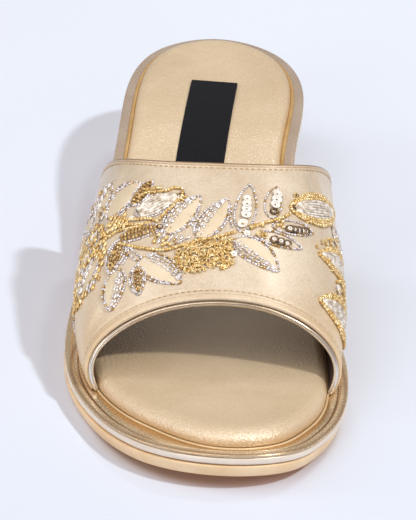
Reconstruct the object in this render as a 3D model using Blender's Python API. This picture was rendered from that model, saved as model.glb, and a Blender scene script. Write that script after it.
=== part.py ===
"""Open-toe mule on a low block heel, right shoe.

One wide band is lasted between a padded insole and a leather-wrapped platform.
Frame: the toe points to -Y, the heel to +Y, the outer side of the foot is -X, and the floor is z = 0.
The tables and named sizes are in millimetres; the meshes are built in metres.
"""
import math

import bmesh
import bpy
import numpy as np

MM = 0.001

# Driving dimensions of the shoe.
TOE_Y = -125.0            # foremost point of the platform
HEEL_Y = 125.0            # rearmost point of the platform
TOE_X = 8.5               # the toe's tip leans to the big toe
HEEL_X = 0.8
GAP = 0.3                 # clearance between touching pieces
PLATFORM_THICKNESS = 4.4
OUTSOLE_THICKNESS = 3.5
TREAD_DROP = PLATFORM_THICKNESS + GAP + OUTSOLE_THICKNESS   # ledge top to tread
OUTSOLE_SHIFT = -0.5      # the outsole sits a little to the outer side
BREAST_TOP_Y = 58.0       # front face of the heel block, at the platform
BREAST_FLOOR_Y = 62.5     # the same face at the floor
TOP_PIECE_THICKNESS = 3.0
WALL = 2.0                # upper: leather, interlining and lining together
PAD_EDGE_SHARE = 0.33     # share of the pad's thickness at which its cover turns under
PIPING_RADIUS = 0.85

# Counts of points, along and around.
SOLE_STATIONS = 30        # steps from the toe to the heel, on each side
BAND_ROWS = 13            # from the front edge to the back edge
BAND_COLUMNS = 39         # from the outer side over the foot to the inner side
SPLINE_POINTS = 960

# Platform outline. y: station, outer: outer side's x, inner: inner side's x.
OUTLINE = [
    # y,     outer, inner
    (-119.5, -12.5, 27.0),    # toe
    (-109.0, -24.2, 35.0),
    (-94.0, -33.6, 41.2),
    (-74.0, -41.6, 44.4),     # ball, inner side widest
    (-48.0, -44.6, 43.0),     # ball, outer side widest
    (-18.0, -42.4, 36.4),
    (12.0, -37.4, 29.8),      # waist
    (40.0, -33.6, 28.6),
    (66.0, -32.0, 31.6),      # heel seat
    (88.0, -30.2, 32.0),
    (105.5, -25.6, 27.4),
    (117.5, -17.4, 18.6),
]

# Height of the platform's top above the floor. y: station, z: height.
LEDGE_PROFILE = [
    # y,     z
    (-125.0, 13.7),           # toe spring
    (-110.0, 10.9),
    (-95.0, 8.9),
    (-80.0, 8.2),             # the forefoot stands flat from here
    (-45.0, 8.2),             # to here
    (-20.0, 10.5),
    (5.0, 17.0),              # arch
    (30.0, 25.7),
    (55.0, 33.2),
    (80.0, 36.6),             # heel seat
    (105.0, 38.1),
    (125.0, 39.0),
]

# Thickness of the pad. y: station, thickness.
PAD_PROFILE = [
    # y,     thickness
    (-125.0, 4.0),            # forefoot
    (-30.0, 4.0),
    (60.0, 2.7),              # heel seat
    (125.0, 2.6),
]

# Sections of the band, front to back. v: share of the way, foot_outer and foot_inner: y where the
# section meets the platform, reach_outer and reach_inner: its widest x, crown_x, crown_y, crown_z: its
# top, square: 2 is an ellipse and more is squarer, sweep: how late the section runs forward as it climbs.
BAND = [
    # v,   foot_outer, foot_inner, reach_outer, reach_inner, crown_x, crown_y, crown_z, square, sweep
    (0.0, -81.0, -78.5, -39.4, 44.2, 4.5, -73.4, 37.5, 2.05, 1.2),
    (0.35, -50.0, -47.0, -43.0, 45.0, 4.0, -56.6, 45.3, 2.60, 2.0),
    (0.7, -17.0, -17.0, -41.2, 43.0, 4.0, -39.0, 52.8, 3.10, 2.6),
    (1.0, 12.0, 10.0, -36.8, 40.8, 4.0, -23.0, 58.2, 3.60, 2.9),
]
TUCK_HEIGHT = 0.6         # share of a section's height over which its sides turn in to the pad

# Woven label on the heel seat.
LABEL_LENGTH = 60.0
LABEL_WIDTH = 16.5
LABEL_THICKNESS = 0.5
LABEL_CENTRE = (-2.2, 52.5)
LABEL_TURN = math.radians(5.2)


def clear_scene():
    """Remove every object of the open scene."""
    for item in list(bpy.data.objects):
        bpy.data.objects.remove(item, do_unlink=True)


def smooth_column(rows, column):
    """Return a function that reads one column of a table, as a monotone cubic of its first column."""
    xs = np.array([row[0] for row in rows], float)
    ys = np.array([row[column] for row in rows], float)
    step = np.diff(xs)
    slope = np.diff(ys) / step
    tangent = np.zeros_like(xs)
    tangent[0] = slope[0]
    tangent[-1] = slope[-1]
    for i in range(1, len(xs) - 1):
        if slope[i - 1] * slope[i] > 0.0:
            before = 2.0 * step[i] + step[i - 1]
            after = step[i] + 2.0 * step[i - 1]
            tangent[i] = (before + after) / (before / slope[i - 1] + after / slope[i])

    def read(x):
        x = np.clip(np.asarray(x, float), xs[0], xs[-1])
        i = np.clip(np.searchsorted(xs, x, side="right") - 1, 0, len(xs) - 2)
        t = (x - xs[i]) / step[i]
        rise = 3.0 * t ** 2 - 2.0 * t ** 3
        start = step[i] * tangent[i] * (t ** 3 - 2.0 * t ** 2 + t)
        end = step[i] * tangent[i + 1] * (t ** 3 - t ** 2)
        return ys[i] * (1.0 - rise) + ys[i + 1] * rise + start + end

    return read


def closed_spline(points, count):
    """Points on a closed cubic spline through the given ones, smooth to the second order."""
    knots = np.array(points, float)
    total = len(knots)
    following = np.roll(knots, -1, axis=0)
    span = np.linalg.norm(following - knots, axis=1) ** 0.75
    system = np.zeros((total, total))
    right = np.zeros((total, 2))
    for i in range(total):
        before, after = span[i - 1], span[i]
        system[i, (i - 1) % total] += after
        system[i, i] += 2.0 * (before + after)
        system[i, (i + 1) % total] += before
        right[i] = 3.0 * (after * (knots[i] - knots[i - 1]) / before
                          + before * (following[i] - knots[i]) / after)
    tangent = np.linalg.solve(system, right)
    start = np.concatenate([[0.0], np.cumsum(span)])
    where = np.linspace(0.0, start[-1], count, endpoint=False)
    i = np.clip(np.searchsorted(start, where, side="right") - 1, 0, total - 1)
    t = ((where - start[i]) / span[i])[:, None]
    width = span[i][:, None]
    rise = 3.0 * t ** 2 - 2.0 * t ** 3
    return (knots[i] * (1.0 - rise) + following[i] * rise
            + tangent[i] * width * (t ** 3 - 2.0 * t ** 2 + t)
            + tangent[(i + 1) % total] * width * (t ** 3 - t ** 2))


ledge = smooth_column(LEDGE_PROFILE, 1)
pad_thickness = smooth_column(PAD_PROFILE, 1)


def platform_outline():
    """The platform's outer edge seen from above: toe, outer side, heel, inner side."""
    outer = [(row[1], row[0]) for row in OUTLINE]
    inner = [(row[2], row[0]) for row in reversed(OUTLINE)]
    return closed_spline([(TOE_X, TOE_Y)] + outer + [(HEEL_X, HEEL_Y)] + inner, SPLINE_POINTS)


OUTLINE_LOOP = platform_outline()


def inset_loop(inset):
    """The platform's outline moved inwards along its normal by a distance, or by one for each point."""
    loop = OUTLINE_LOOP
    along = np.roll(loop, -1, axis=0) - np.roll(loop, 1, axis=0)
    along /= np.linalg.norm(along, axis=1)[:, None]
    inward = np.stack([along[:, 1], -along[:, 0]], axis=1)
    if ((loop.mean(axis=0) - loop) * inward).sum() < 0.0:
        inward = -inward
    return loop + inward * np.broadcast_to(inset, len(loop))[:, None]


def side_curves(loop):
    """Split a loop at its front and back tips. Each side is returned with rising y."""
    loop = np.roll(loop, -int(np.argmin(loop[:, 1])), axis=0)
    back = int(np.argmax(loop[:, 1]))
    first = loop[:back + 1]
    second = np.vstack([loop[back:], loop[:1]])[::-1]
    if first[:, 0].mean() < second[:, 0].mean():
        return first, second
    return second, first


def ring(inset, height, start_y=None, end_y=None, shift=0.0):
    """One closed ring of points: up the outer side, then back down the inner side.

    It is the outline moved inwards, cut at start_y and end_y where they are given. Stations lie on a
    cosine scale, so that they gather at the tips. height is a function of y.
    """
    outer, inner = side_curves(inset_loop(inset))
    low = outer[0, 1] if start_y is None else start_y
    high = outer[-1, 1] if end_y is None else end_y
    share = np.linspace(0.0, 1.0, SOLE_STATIONS + 1)
    turn_low = 0.0 if start_y is None else 0.5
    turn_high = 1.0 if end_y is None else 0.5
    wave = np.cos(math.pi * (turn_low + (turn_high - turn_low) * share))
    y = low + (high - low) * (wave[0] - wave) / (wave[0] - wave[-1])
    outer_x = np.interp(y, outer[:, 1], outer[:, 0])
    inner_x = np.interp(y, inner[:, 1], inner[:, 0])
    z = height(y)
    up = np.stack([outer_x + shift, y, z], axis=1)
    down = np.stack([inner_x + shift, y, z], axis=1)[::-1]
    if end_y is None:
        down = down[1:]
    if start_y is None:
        down = down[:-1]
    return np.vstack([up, down])


def cap_faces(count, first, has_front_tip, has_back_tip):
    """Faces that close a ring with rungs from the outer side to the inner side."""
    last = count - 1
    left = list(range(SOLE_STATIONS + 1))
    right = [None] * (SOLE_STATIONS + 1)
    at = last
    for i in range(SOLE_STATIONS + 1):
        if i == 0 and has_front_tip:
            right[i] = left[i]
        elif i == SOLE_STATIONS and has_back_tip:
            right[i] = left[i]
        else:
            right[i] = at
            at -= 1
    faces = []
    for i in range(SOLE_STATIONS):
        corners = [left[i], left[i + 1], right[i + 1], right[i]]
        corners = list(dict.fromkeys(corners))
        faces.append([first + corner for corner in corners])
    return faces


def stacked_solid(rings, has_front_tip=True, has_back_tip=True):
    """A closed mesh from rings of equal length, bottom ring first."""
    count = len(rings[0])
    faces = cap_faces(count, 0, has_front_tip, has_back_tip)
    for level in range(len(rings) - 1):
        low = level * count
        high = low + count
        for i in range(count):
            j = (i + 1) % count
            faces.append([low + i, low + j, high + j, high + i])
    faces += cap_faces(count, (len(rings) - 1) * count, has_front_tip, has_back_tip)
    return np.vstack(rings), faces


def material(name, colour, roughness, metallic):
    """A Principled material with one colour."""
    made = bpy.data.materials.new(name)
    made.use_nodes = True
    shader = made.node_tree.nodes["Principled BSDF"]
    shader.inputs["Base Color"].default_value = (*colour, 1.0)
    shader.inputs["Roughness"].default_value = roughness
    shader.inputs["Metallic"].default_value = metallic
    made.diffuse_color = (*colour, 1.0)
    return made


def add_piece(name, points, faces, look, sharp_angle=40.0):
    """Make one object from points in millimetres, with its faces turned outwards."""
    mesh = bpy.data.meshes.new(name)
    mesh.from_pydata((np.asarray(points) * MM).tolist(), [], faces)
    work = bmesh.new()
    work.from_mesh(mesh)
    bmesh.ops.triangulate(work, faces=work.faces[:])
    bmesh.ops.recalc_face_normals(work, faces=work.faces[:])
    work.to_mesh(mesh)
    work.free()
    mesh.materials.append(look)
    mesh.shade_smooth()
    mesh.set_sharp_from_angle(angle=math.radians(sharp_angle))
    piece = bpy.data.objects.new(name, mesh)
    bpy.context.scene.collection.objects.link(piece)
    return piece


def pad_inset(y):
    """Width of the bare ledge round the pad: wider at the toe, at the ball and behind the heel."""
    toe = 0.9 * np.exp(-((y + 120.0) / 18.0) ** 2)
    ball = 2.0 * np.exp(-((y + 62.0) / 38.0) ** 2)
    heel = 0.7 * np.exp(-((y - 125.0) / 16.0) ** 2)
    return 4.8 + toe + ball + heel


def pad_roll(y):
    """Width over which the pad climbs to its full thickness: a wide roll at the toe, a tight one behind."""
    return 4.0 + 8.0 / (1.0 + np.exp((y + 98.0) / 6.0))


def pad_height(y, depth):
    """Height of the pad's top above the platform, a distance in from the pad's edge."""
    share = np.clip(depth / pad_roll(y), 0.0, 1.0)
    rise = PAD_EDGE_SHARE + (1.0 - PAD_EDGE_SHARE) * np.sin(0.5 * math.pi * share)
    return pad_thickness(y) * rise


def pad_edge(y, side):
    """x of the pad's edge at a station, on the outer (-1) or inner (+1) side."""
    outer, inner = side_curves(inset_loop(pad_inset(OUTLINE_LOOP[:, 1])))
    edge = outer if side < 0 else inner
    return np.interp(y, edge[:, 1], edge[:, 0])


def outsole():
    """Thin sheet from the toe to the heel block's breast. Its side tapers in towards the tread."""
    profile = [
        # inset, drop below the ledge's top
        (2.0, TREAD_DROP),
        (1.0, TREAD_DROP - 0.5),
        (0.3, PLATFORM_THICKNESS + GAP + 0.6),
        (0.7, PLATFORM_THICKNESS + GAP),
    ]
    rings = [ring(inset, lambda y, d=drop: ledge(y) - d, end_y=BREAST_TOP_Y - GAP, shift=OUTSOLE_SHIFT)
             for inset, drop in profile]
    points, faces = stacked_solid(rings, has_back_tip=False)
    look = material("moulded_outsole", (0.80, 0.60, 0.38), 0.45, 0.15)
    return add_piece("outsole", points, faces, look)


def platform():
    """Board wrapped in foil leather. Its top edge is rolled, and its lower edge turns under."""
    profile = [
        # inset, drop below the ledge's top
        (1.1, PLATFORM_THICKNESS),
        (0.2, PLATFORM_THICKNESS - 0.6),
        (0.0, 2.6),
        (0.0, 1.3),
        (0.4, 0.45),
        (1.3, 0.0),
        (3.6, 0.25),
    ]
    rings = [ring(inset, lambda y, d=drop: ledge(y) - d) for inset, drop in profile]
    points, faces = stacked_solid(rings)
    look = material("foil_leather_wrap", (0.62, 0.48, 0.30), 0.3, 0.75)
    return add_piece("platform", points, faces, look)


def insole_pad():
    """Padded insole: a crowned cushion with a wide roll at the toe, flat underneath."""
    edge = pad_inset(OUTLINE_LOOP[:, 1])
    rings = [ring(edge + 0.8, lambda y: ledge(y) + GAP), ring(edge, lambda y: ledge(y) + GAP + 0.4)]
    for depth in (0.0, 1.2, 3.2, 6.4, 12.0):
        rings.append(ring(edge + depth + 0.15, lambda y, d=depth: ledge(y) + GAP + pad_height(y, d)))
    points, faces = stacked_solid(rings)
    look = material("champagne_sock_leather", (0.76, 0.61, 0.42), 0.5, 0.25)
    return add_piece("insole_pad", points, faces, look)


def block_ring(inset, share):
    """Ring of the heel block, a share of the way from the platform down to the top piece."""
    start = BREAST_TOP_Y + (BREAST_FLOOR_Y - BREAST_TOP_Y) * share
    floor = TOP_PIECE_THICKNESS + GAP
    return ring(inset, lambda y: (1.0 - share) * (ledge(y) - PLATFORM_THICKNESS - GAP) + share * floor,
                start_y=start)


def heel_block():
    """Wrapped heel block: straight breast, sides almost flush with the platform, slightly tapered."""
    levels = [
        # inset, share of the way down
        (3.4, 1.0),
        (2.9, 0.97),
        (1.5, 0.45),
        (0.7, 0.04),
        (1.2, 0.0),
    ]
    points, faces = stacked_solid([block_ring(inset, share) for inset, share in levels],
                                  has_front_tip=False)
    look = material("foil_leather_block", (0.72, 0.60, 0.44), 0.3, 0.7)
    return add_piece("heel_block", points, faces, look)


def heel_top_piece():
    """Rubber lift under the heel block, flat on the floor."""
    levels = [
        # inset, height above the floor
        (3.7, 0.0),
        (3.3, 0.4),
        (3.3, TOP_PIECE_THICKNESS),
    ]
    rings = [ring(inset, lambda y, h=height: 0.0 * y + h, start_y=BREAST_FLOOR_Y + 0.2)
             for inset, height in levels]
    points, faces = stacked_solid(rings, has_front_tip=False)
    look = material("top_piece_rubber", (0.45, 0.36, 0.26), 0.6, 0.0)
    return add_piece("heel_top_piece", points, faces, look)


def band_section(v, count):
    """Outer face of the band at one section, spaced evenly from the outer foot over the crown.

    The section is a superellipse between its two reaches. Low down its sides turn in to the pad's edge,
    and it runs forward as it climbs. Also returns each point's share of the section's height.
    """
    (foot_outer, foot_inner, reach_outer, reach_inner,
     crown_x, crown_y, crown_z, square, sweep) = [float(smooth_column(BAND, k)(v)) for k in range(1, 10)]
    angle = np.linspace(0.0, math.pi, 241)
    power = 2.0 / square
    across = -np.sign(np.cos(angle)) * np.abs(np.cos(angle)) ** power
    climb = np.sin(angle).clip(0.0, 1.0) ** power
    middle = 0.5 * (reach_outer + reach_inner)
    half = 0.5 * (reach_inner - reach_outer)
    x = middle + half * across + (crown_x - middle) * (1.0 - across ** 2)
    foot_x_outer = pad_edge(foot_outer, -1) - GAP - WALL
    foot_x_inner = pad_edge(foot_inner, 1) + GAP + WALL
    tuck = np.clip(1.0 - climb / TUCK_HEIGHT, 0.0, 1.0) ** 2
    x += tuck * np.where(across < 0.0, foot_x_outer - reach_outer, foot_x_inner - reach_inner)
    to_inner = 0.5 * (1.0 + across)
    foot_y = foot_outer + (foot_inner - foot_outer) * to_inner
    foot_z = ledge(foot_outer) * (1.0 - to_inner) + ledge(foot_inner) * to_inner + GAP
    y = foot_y + (crown_y - foot_y) * climb ** sweep
    z = foot_z + (crown_z - foot_z) * climb
    curve = np.stack([x, y, z], axis=1)
    length = np.concatenate([[0.0], np.cumsum(np.linalg.norm(np.diff(curve, axis=0), axis=1))])
    even = np.linspace(0.0, length[-1], count)
    section = np.stack([np.interp(even, length, curve[:, k]) for k in range(3)], axis=1)
    return section, np.interp(even, length, climb)


def band_faces():
    """The band's outer and inner faces as grids, front edge first, outer foot first."""
    rows = [band_section(v, BAND_COLUMNS) for v in np.linspace(0.0, 1.0, BAND_ROWS)]
    outer = np.array([row[0] for row in rows])
    climb = np.array([row[1] for row in rows])
    along = np.gradient(outer, axis=0)
    across = np.gradient(outer, axis=1)
    normal = np.cross(across, along)
    normal[..., 2] *= np.clip(climb / 0.3, 0.0, 1.0)
    normal /= np.linalg.norm(normal, axis=2)[..., None]
    centre = outer[BAND_ROWS // 2, BAND_COLUMNS // 2]
    if normal[BAND_ROWS // 2, BAND_COLUMNS // 2, 2] > 0.0 and centre[2] > 0.0:
        normal = -normal
    inner = outer + WALL * normal
    for side in (0, -1):
        inner[:, side, 2] = ledge(inner[:, side, 1]) + GAP
        outer[:, side, 2] = ledge(outer[:, side, 1]) + GAP
    return outer, inner


def upper_band():
    """The wide band: one wall, open at the toe, behind and underneath."""
    outer, inner = band_faces()
    rows, columns = outer.shape[:2]
    points = np.vstack([outer.reshape(-1, 3), inner.reshape(-1, 3)])
    shift = rows * columns
    faces = []
    for r in range(rows - 1):
        for c in range(columns - 1):
            a, b = r * columns + c, (r + 1) * columns + c
            faces.append([a, a + 1, b + 1, b])
            faces.append([shift + a, shift + b, shift + b + 1, shift + a + 1])
    border = [c for c in range(columns)]
    border += [r * columns + columns - 1 for r in range(1, rows)]
    border += [(rows - 1) * columns + c for c in range(columns - 2, -1, -1)]
    border += [r * columns for r in range(rows - 2, 0, -1)]
    for i, a in enumerate(border):
        b = border[(i + 1) % len(border)]
        faces.append([a, b, shift + b, shift + a])
    look = material("champagne_band_leather", (0.80, 0.63, 0.40), 0.38, 0.45)
    return add_piece("upper_band", points, faces, look)


def toe_piping():
    """Round piping that follows the band's front edge, from one foot of the band to the other."""
    outer, inner = band_faces()
    edge = 0.5 * (outer[0] + inner[0])
    forward = 0.5 * (outer[0] + inner[0] - outer[1] - inner[1])
    forward /= np.linalg.norm(forward, axis=1)[:, None]
    path = edge + forward * (PIPING_RADIUS + GAP)
    path[0, 2] = ledge(path[0, 1]) + GAP
    path[-1, 2] = ledge(path[-1, 1]) + GAP
    out = outer[0] - inner[0]
    along = np.gradient(path, axis=0)
    along /= np.linalg.norm(along, axis=1)[:, None]
    out -= (out * along).sum(axis=1)[:, None] * along
    out /= np.linalg.norm(out, axis=1)[:, None]
    third = np.cross(along, out)
    sides = 8
    points = []
    for k in range(sides):
        angle = 2.0 * math.pi * k / sides
        points.append(path + PIPING_RADIUS * (math.cos(angle) * out + math.sin(angle) * third))
    grid = np.array(points).transpose(1, 0, 2)
    for end in (0, -1):
        grid[end, :, 2] = ledge(grid[end, :, 1]) + GAP
    columns = len(path)
    faces = [list(range(sides)), [(columns - 1) * sides + k for k in range(sides)]]
    for i in range(columns - 1):
        for k in range(sides):
            after = (k + 1) % sides
            faces.append([i * sides + k, i * sides + after, (i + 1) * sides + after, (i + 1) * sides + k])
    look = material("pearl_piping_leather", (0.85, 0.76, 0.66), 0.25, 0.5)
    return add_piece("toe_piping", grid.reshape(-1, 3), faces, look)


def insole_label():
    """Woven label on the pad, a thin plate that follows the pad's slope."""
    lengthwise = np.linspace(-0.5, 0.5, 13) * LABEL_LENGTH
    widthwise = np.array([-0.5, 0.5]) * LABEL_WIDTH
    along, side = np.meshgrid(lengthwise, widthwise, indexing="ij")
    x = LABEL_CENTRE[0] + side * math.cos(LABEL_TURN) + along * math.sin(LABEL_TURN)
    y = LABEL_CENTRE[1] - side * math.sin(LABEL_TURN) + along * math.cos(LABEL_TURN)
    z = ledge(y) + GAP + pad_thickness(y) + GAP
    low = np.stack([x, y, z], axis=2).reshape(-1, 3)
    high = low + (0.0, 0.0, LABEL_THICKNESS)
    rows = len(lengthwise)
    shift = len(low)
    faces = [[0, 1, shift + 1, shift],
             [2 * rows - 2, 2 * rows - 1, shift + 2 * rows - 1, shift + 2 * rows - 2]]
    for r in range(rows - 1):
        a, b, c, d = 2 * r, 2 * r + 1, 2 * r + 3, 2 * r + 2
        faces += [[a, b, c, d], [shift + a, shift + b, shift + c, shift + d],
                  [a, d, shift + d, shift + a], [b, c, shift + c, shift + b]]
    look = material("black_woven_label", (0.02, 0.022, 0.03), 0.6, 0.0)
    return add_piece("insole_label", np.vstack([low, high]), faces, look)


def main():
    """Build every piece of the shoe."""
    clear_scene()
    outsole()
    platform()
    insole_pad()
    heel_block()
    heel_top_piece()
    upper_band()
    toe_piping()
    insole_label()


main()
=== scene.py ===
# %% [markdown]
# # An open-toe mule with beadwork on its band
#
# A shoemaker lasts one wide strip of soft metallic leather over the front of the foot, between a padded
# insole and a wrapped platform. Traditional zardozi work covers the strip: leaves outlined in little
# metal rings, strings of amber beads, and sequins.
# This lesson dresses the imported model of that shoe, piece by piece. Every surface is a formula of two
# parameters, worked out with numpy as whole arrays, because a shape that is a formula can be made finer
# or coarser without being drawn again. Lengths in the tables are millimetres, and the floor is z = 0.

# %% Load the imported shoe
import math

import bmesh
import bpy
import numpy as np
from mathutils import Matrix, Vector


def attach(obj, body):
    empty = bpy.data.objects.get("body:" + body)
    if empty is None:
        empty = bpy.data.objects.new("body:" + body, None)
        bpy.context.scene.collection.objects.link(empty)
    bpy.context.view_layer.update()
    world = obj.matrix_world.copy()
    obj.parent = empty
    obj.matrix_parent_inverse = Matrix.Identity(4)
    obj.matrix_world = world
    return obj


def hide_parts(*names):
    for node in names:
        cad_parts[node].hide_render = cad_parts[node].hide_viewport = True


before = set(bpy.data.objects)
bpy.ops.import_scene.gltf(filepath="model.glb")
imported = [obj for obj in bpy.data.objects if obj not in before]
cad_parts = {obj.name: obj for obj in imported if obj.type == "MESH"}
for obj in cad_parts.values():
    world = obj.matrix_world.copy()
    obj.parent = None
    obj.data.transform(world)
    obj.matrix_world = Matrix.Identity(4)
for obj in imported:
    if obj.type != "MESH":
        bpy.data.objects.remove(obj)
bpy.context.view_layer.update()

MM = 0.001
print("packed nodes:", sorted(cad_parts))

# %% [markdown]
# ## Meshes from arrays
# A piece starts as a grid of points. Its faces need no thought: each cell of the grid is one quad, and a
# grid that closes on itself only wraps its last row or column round to the first. Where a row shrinks to
# a line or a point, the doubled points are welded, so that the finished piece is a closed solid.

# %% Grids, welding and finished pieces
def grid_quads(rows, columns, wrap_rows=False, wrap_columns=False):
    """Quads (r,c) (r,c+1) (r+1,c+1) (r+1,c) of a grid whose point (r,c) has index r*columns + c."""
    r = np.arange(rows if wrap_rows else rows - 1)[:, None]
    c = np.arange(columns if wrap_columns else columns - 1)[None, :]
    next_r, next_c = (r + 1) % rows, (c + 1) % columns
    corners = [r * columns + c, r * columns + next_c, next_r * columns + next_c, next_r * columns + c]
    return np.stack(corners, axis=-1).reshape(-1, 4)


def mesh_of(name, points, quads):
    """A mesh in metres from an (n, 3) array in millimetres and an (m, 4) array of corners."""
    mesh = bpy.data.meshes.new(name)
    mesh.vertices.add(len(points))
    mesh.vertices.foreach_set("co", (np.asarray(points, float) * MM).ravel())
    mesh.loops.add(quads.size)
    mesh.loops.foreach_set("vertex_index", quads.ravel().astype(np.int32))
    mesh.polygons.add(len(quads))
    mesh.polygons.foreach_set("loop_start", np.arange(0, quads.size, 4, dtype=np.int32))
    mesh.update(calc_edges=True)
    return mesh


def weld(mesh, distance=0.002):
    """Merge doubled points, drop the faces that vanish with them, and turn the shell outwards."""
    work = bmesh.new()
    work.from_mesh(mesh)
    bmesh.ops.remove_doubles(work, verts=work.verts[:], dist=distance * MM)
    bmesh.ops.dissolve_degenerate(work, edges=work.edges[:], dist=0.5 * distance * MM)
    bmesh.ops.recalc_face_normals(work, faces=work.faces[:])
    work.to_mesh(mesh)
    work.free()


def shell_of(name, grid, wrap_rows=False, wrap_columns=False, **marks):
    """A welded shell from a grid of points (rows, columns, 3). marks: attributes, one value a point."""
    mesh = mesh_of(name, grid.reshape(-1, 3), grid_quads(*grid.shape[:2], wrap_rows, wrap_columns))
    for attribute, values in marks.items():
        mesh.attributes.new(attribute, "FLOAT", "POINT").data.foreach_set("value", np.ravel(values))
    weld(mesh)
    return mesh


def finish_piece(mesh, look, replaced=(), sharp_angle=None):
    """Put a mesh into the scene as a piece that rides on the shoe, with its finish."""
    mesh.materials.append(look)
    mesh.shade_smooth()
    if sharp_angle is not None:
        mesh.set_sharp_from_angle(angle=math.radians(sharp_angle))
    piece = bpy.data.objects.new(mesh.name, mesh)
    bpy.context.scene.collection.objects.link(piece)
    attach(piece, "root")
    if replaced:
        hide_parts(*replaced)
    print(f"{mesh.name}: {len(mesh.vertices)} points, {len(mesh.polygons)} faces")
    return piece


print("a grid of 3 x 4 points has", len(grid_quads(3, 4)), "faces, and", len(grid_quads(3, 4, True, True)),
      "when it wraps both ways")

# %% [markdown]
# ## Colour and shader nodes
# Colours are written as sRGB hex values, as a swatch book gives them, and a shader wants linear light, so
# one function turns one into the other. One more adds a node with its settings and links.

# %% Colour and nodes
def linear(hex_colour):
    """Linear RGBA of an sRGB hex colour: c/12.92 up to 0.04045, and ((c+0.055)/1.055)^2.4 above."""
    shares = [int(hex_colour[i:i + 2], 16) / 255.0 for i in (1, 3, 5)]
    return (*[c / 12.92 if c <= 0.04045 else ((c + 0.055) / 1.055) ** 2.4 for c in shares], 1.0)


def add_node(tree, kind, settings=None, links=None):
    """Add one node. settings are sockets or properties by name, and links are sockets by name."""
    node = tree.nodes.new("ShaderNode" + kind)
    for name, value in (settings or {}).items():
        if isinstance(name, int) or name in node.inputs:
            node.inputs[name].default_value = value
        else:
            setattr(node, name, value)
    for name, socket in (links or {}).items():
        tree.links.new(socket, node.inputs[name])
    return node


def new_look(name, **sockets):
    """A material, its tree and its shader, with the shader's own sockets set by name."""
    look = bpy.data.materials.new(name)
    look.use_nodes = True
    tree = look.node_tree
    shader = tree.nodes["Principled BSDF"]
    for socket, value in sockets.items():
        shader.inputs[socket.replace("_", " ")].default_value = value
    return look, tree, shader


def blend_colours(tree, factor, stops):
    """Colour ramp over a factor. stops are (place, hex colour)."""
    ramp = add_node(tree, "ValToRGB", links={"Fac": factor})
    elements = ramp.color_ramp.elements
    elements[0].position, elements[0].color = stops[0][0], linear(stops[0][1])
    elements[1].position, elements[1].color = stops[-1][0], linear(stops[-1][1])
    for place, hex_colour in stops[1:-1]:
        elements.new(place).color = linear(hex_colour)
    return ramp.outputs["Color"]


def per_metre(size_mm):
    """Scale of a noise or cell texture on object coordinates whose features are that many mm wide."""
    return 1.0 / (size_mm * MM)


print("mid grey #808080 in linear light:", round(linear("#808080")[0], 3))

# %% [markdown]
# ## Leather with a metallic film
# Champagne leather is split hide or coated cloth with a thin metal film pressed on it. The grain of the
# hide stays: cells about 0.5 mm across, raised some hundredths of a millimetre. The film gives a broad
# satin sheen, and its fine flakes sparkle. A scanned texture could show all this, but noise and cells in
# the piece's own coordinates never stretch and never repeat. One function makes every leather, as the
# band, the insole, the platform and the piping differ only in their colours, sizes and gloss.

# %% Metallic leather
def foil_leather(name, stops, metallic, roughness, grain, height, cloud, sparkle=0.0, other_stops=None,
                 turn=("Y", -35.0, 25.0), grained_coat=False, **sockets):
    """Leather with a foil face. stops: its colours from worn to bright, spread by soft clouds.

    grain: cell size in mm, drawn coarser than the hide's own half millimetre, so that it shows.
    height: how far the cells stand up in mm, cloud: size of the clouds in mm,
    sparkle: how much the flakes, 0.6 mm apart, change the colour and the gloss.
    other_stops: colours that take over along an axis between two places in mm, given by turn.
    grained_coat: whether the clear finish follows the grain or lies smooth over it.
    """
    look, tree, shader = new_look(name, Metallic=metallic, Roughness=roughness, **sockets)
    place = add_node(tree, "TexCoord").outputs["Object"]
    clouds = add_node(tree, "TexNoise", {"Scale": per_metre(cloud), "Detail": 4.0, "Roughness": 0.6},
                      {"Vector": place}).outputs["Fac"]
    flakes = add_node(tree, "TexNoise", {"Scale": per_metre(0.6), "Detail": 2.0, "Roughness": 0.7},
                      {"Vector": place}).outputs["Fac"]
    flecks = add_node(tree, "Math", {"operation": "MULTIPLY_ADD", 1: 5.0 * sparkle, 2: -2.5 * sparkle},
                      {0: flakes})
    mixed = add_node(tree, "Math", {"operation": "ADD"}, {0: clouds, 1: flecks.outputs[0]}).outputs[0]
    colour = blend_colours(tree, mixed, stops)
    if other_stops:
        along = add_node(tree, "SeparateXYZ", links={"Vector": place}).outputs[turn[0]]
        share = add_node(tree, "MapRange", {"interpolation_type": "SMOOTHSTEP", "From Min": turn[1] * MM,
                                            "From Max": turn[2] * MM}, {"Value": along}).outputs["Result"]
        colour = add_node(tree, "Mix", {"data_type": "RGBA"},
                          {0: share, 6: colour, 7: blend_colours(tree, mixed, other_stops)}).outputs[2]
    tree.links.new(colour, shader.inputs["Base Color"])
    cells = add_node(tree, "TexVoronoi", {"Scale": per_metre(grain), "feature": "SMOOTH_F1"},
                     {"Vector": place}).outputs["Distance"]
    fine = add_node(tree, "TexNoise", {"Scale": per_metre(0.5 * grain), "Detail": 3.0},
                    {"Vector": place}).outputs["Fac"]
    hide = add_node(tree, "Math", {"operation": "ADD"}, {0: cells, 1: fine})
    bump = add_node(tree, "Bump", {"Strength": 1.0, "Distance": height * MM},
                    {"Height": hide.outputs[0]})
    for normal in ("Normal", "Coat Normal")[:2 if grained_coat else 1]:
        tree.links.new(bump.outputs["Normal"], shader.inputs[normal])
    if sparkle > 0.0:
        gloss = add_node(tree, "MapRange", {"From Min": 0.3, "From Max": 0.7,
                                            "To Min": roughness - 0.5 * sparkle,
                                            "To Max": roughness + 0.5 * sparkle}, {"Value": flakes})
        tree.links.new(gloss.outputs["Result"], shader.inputs["Roughness"])
    return look

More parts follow.
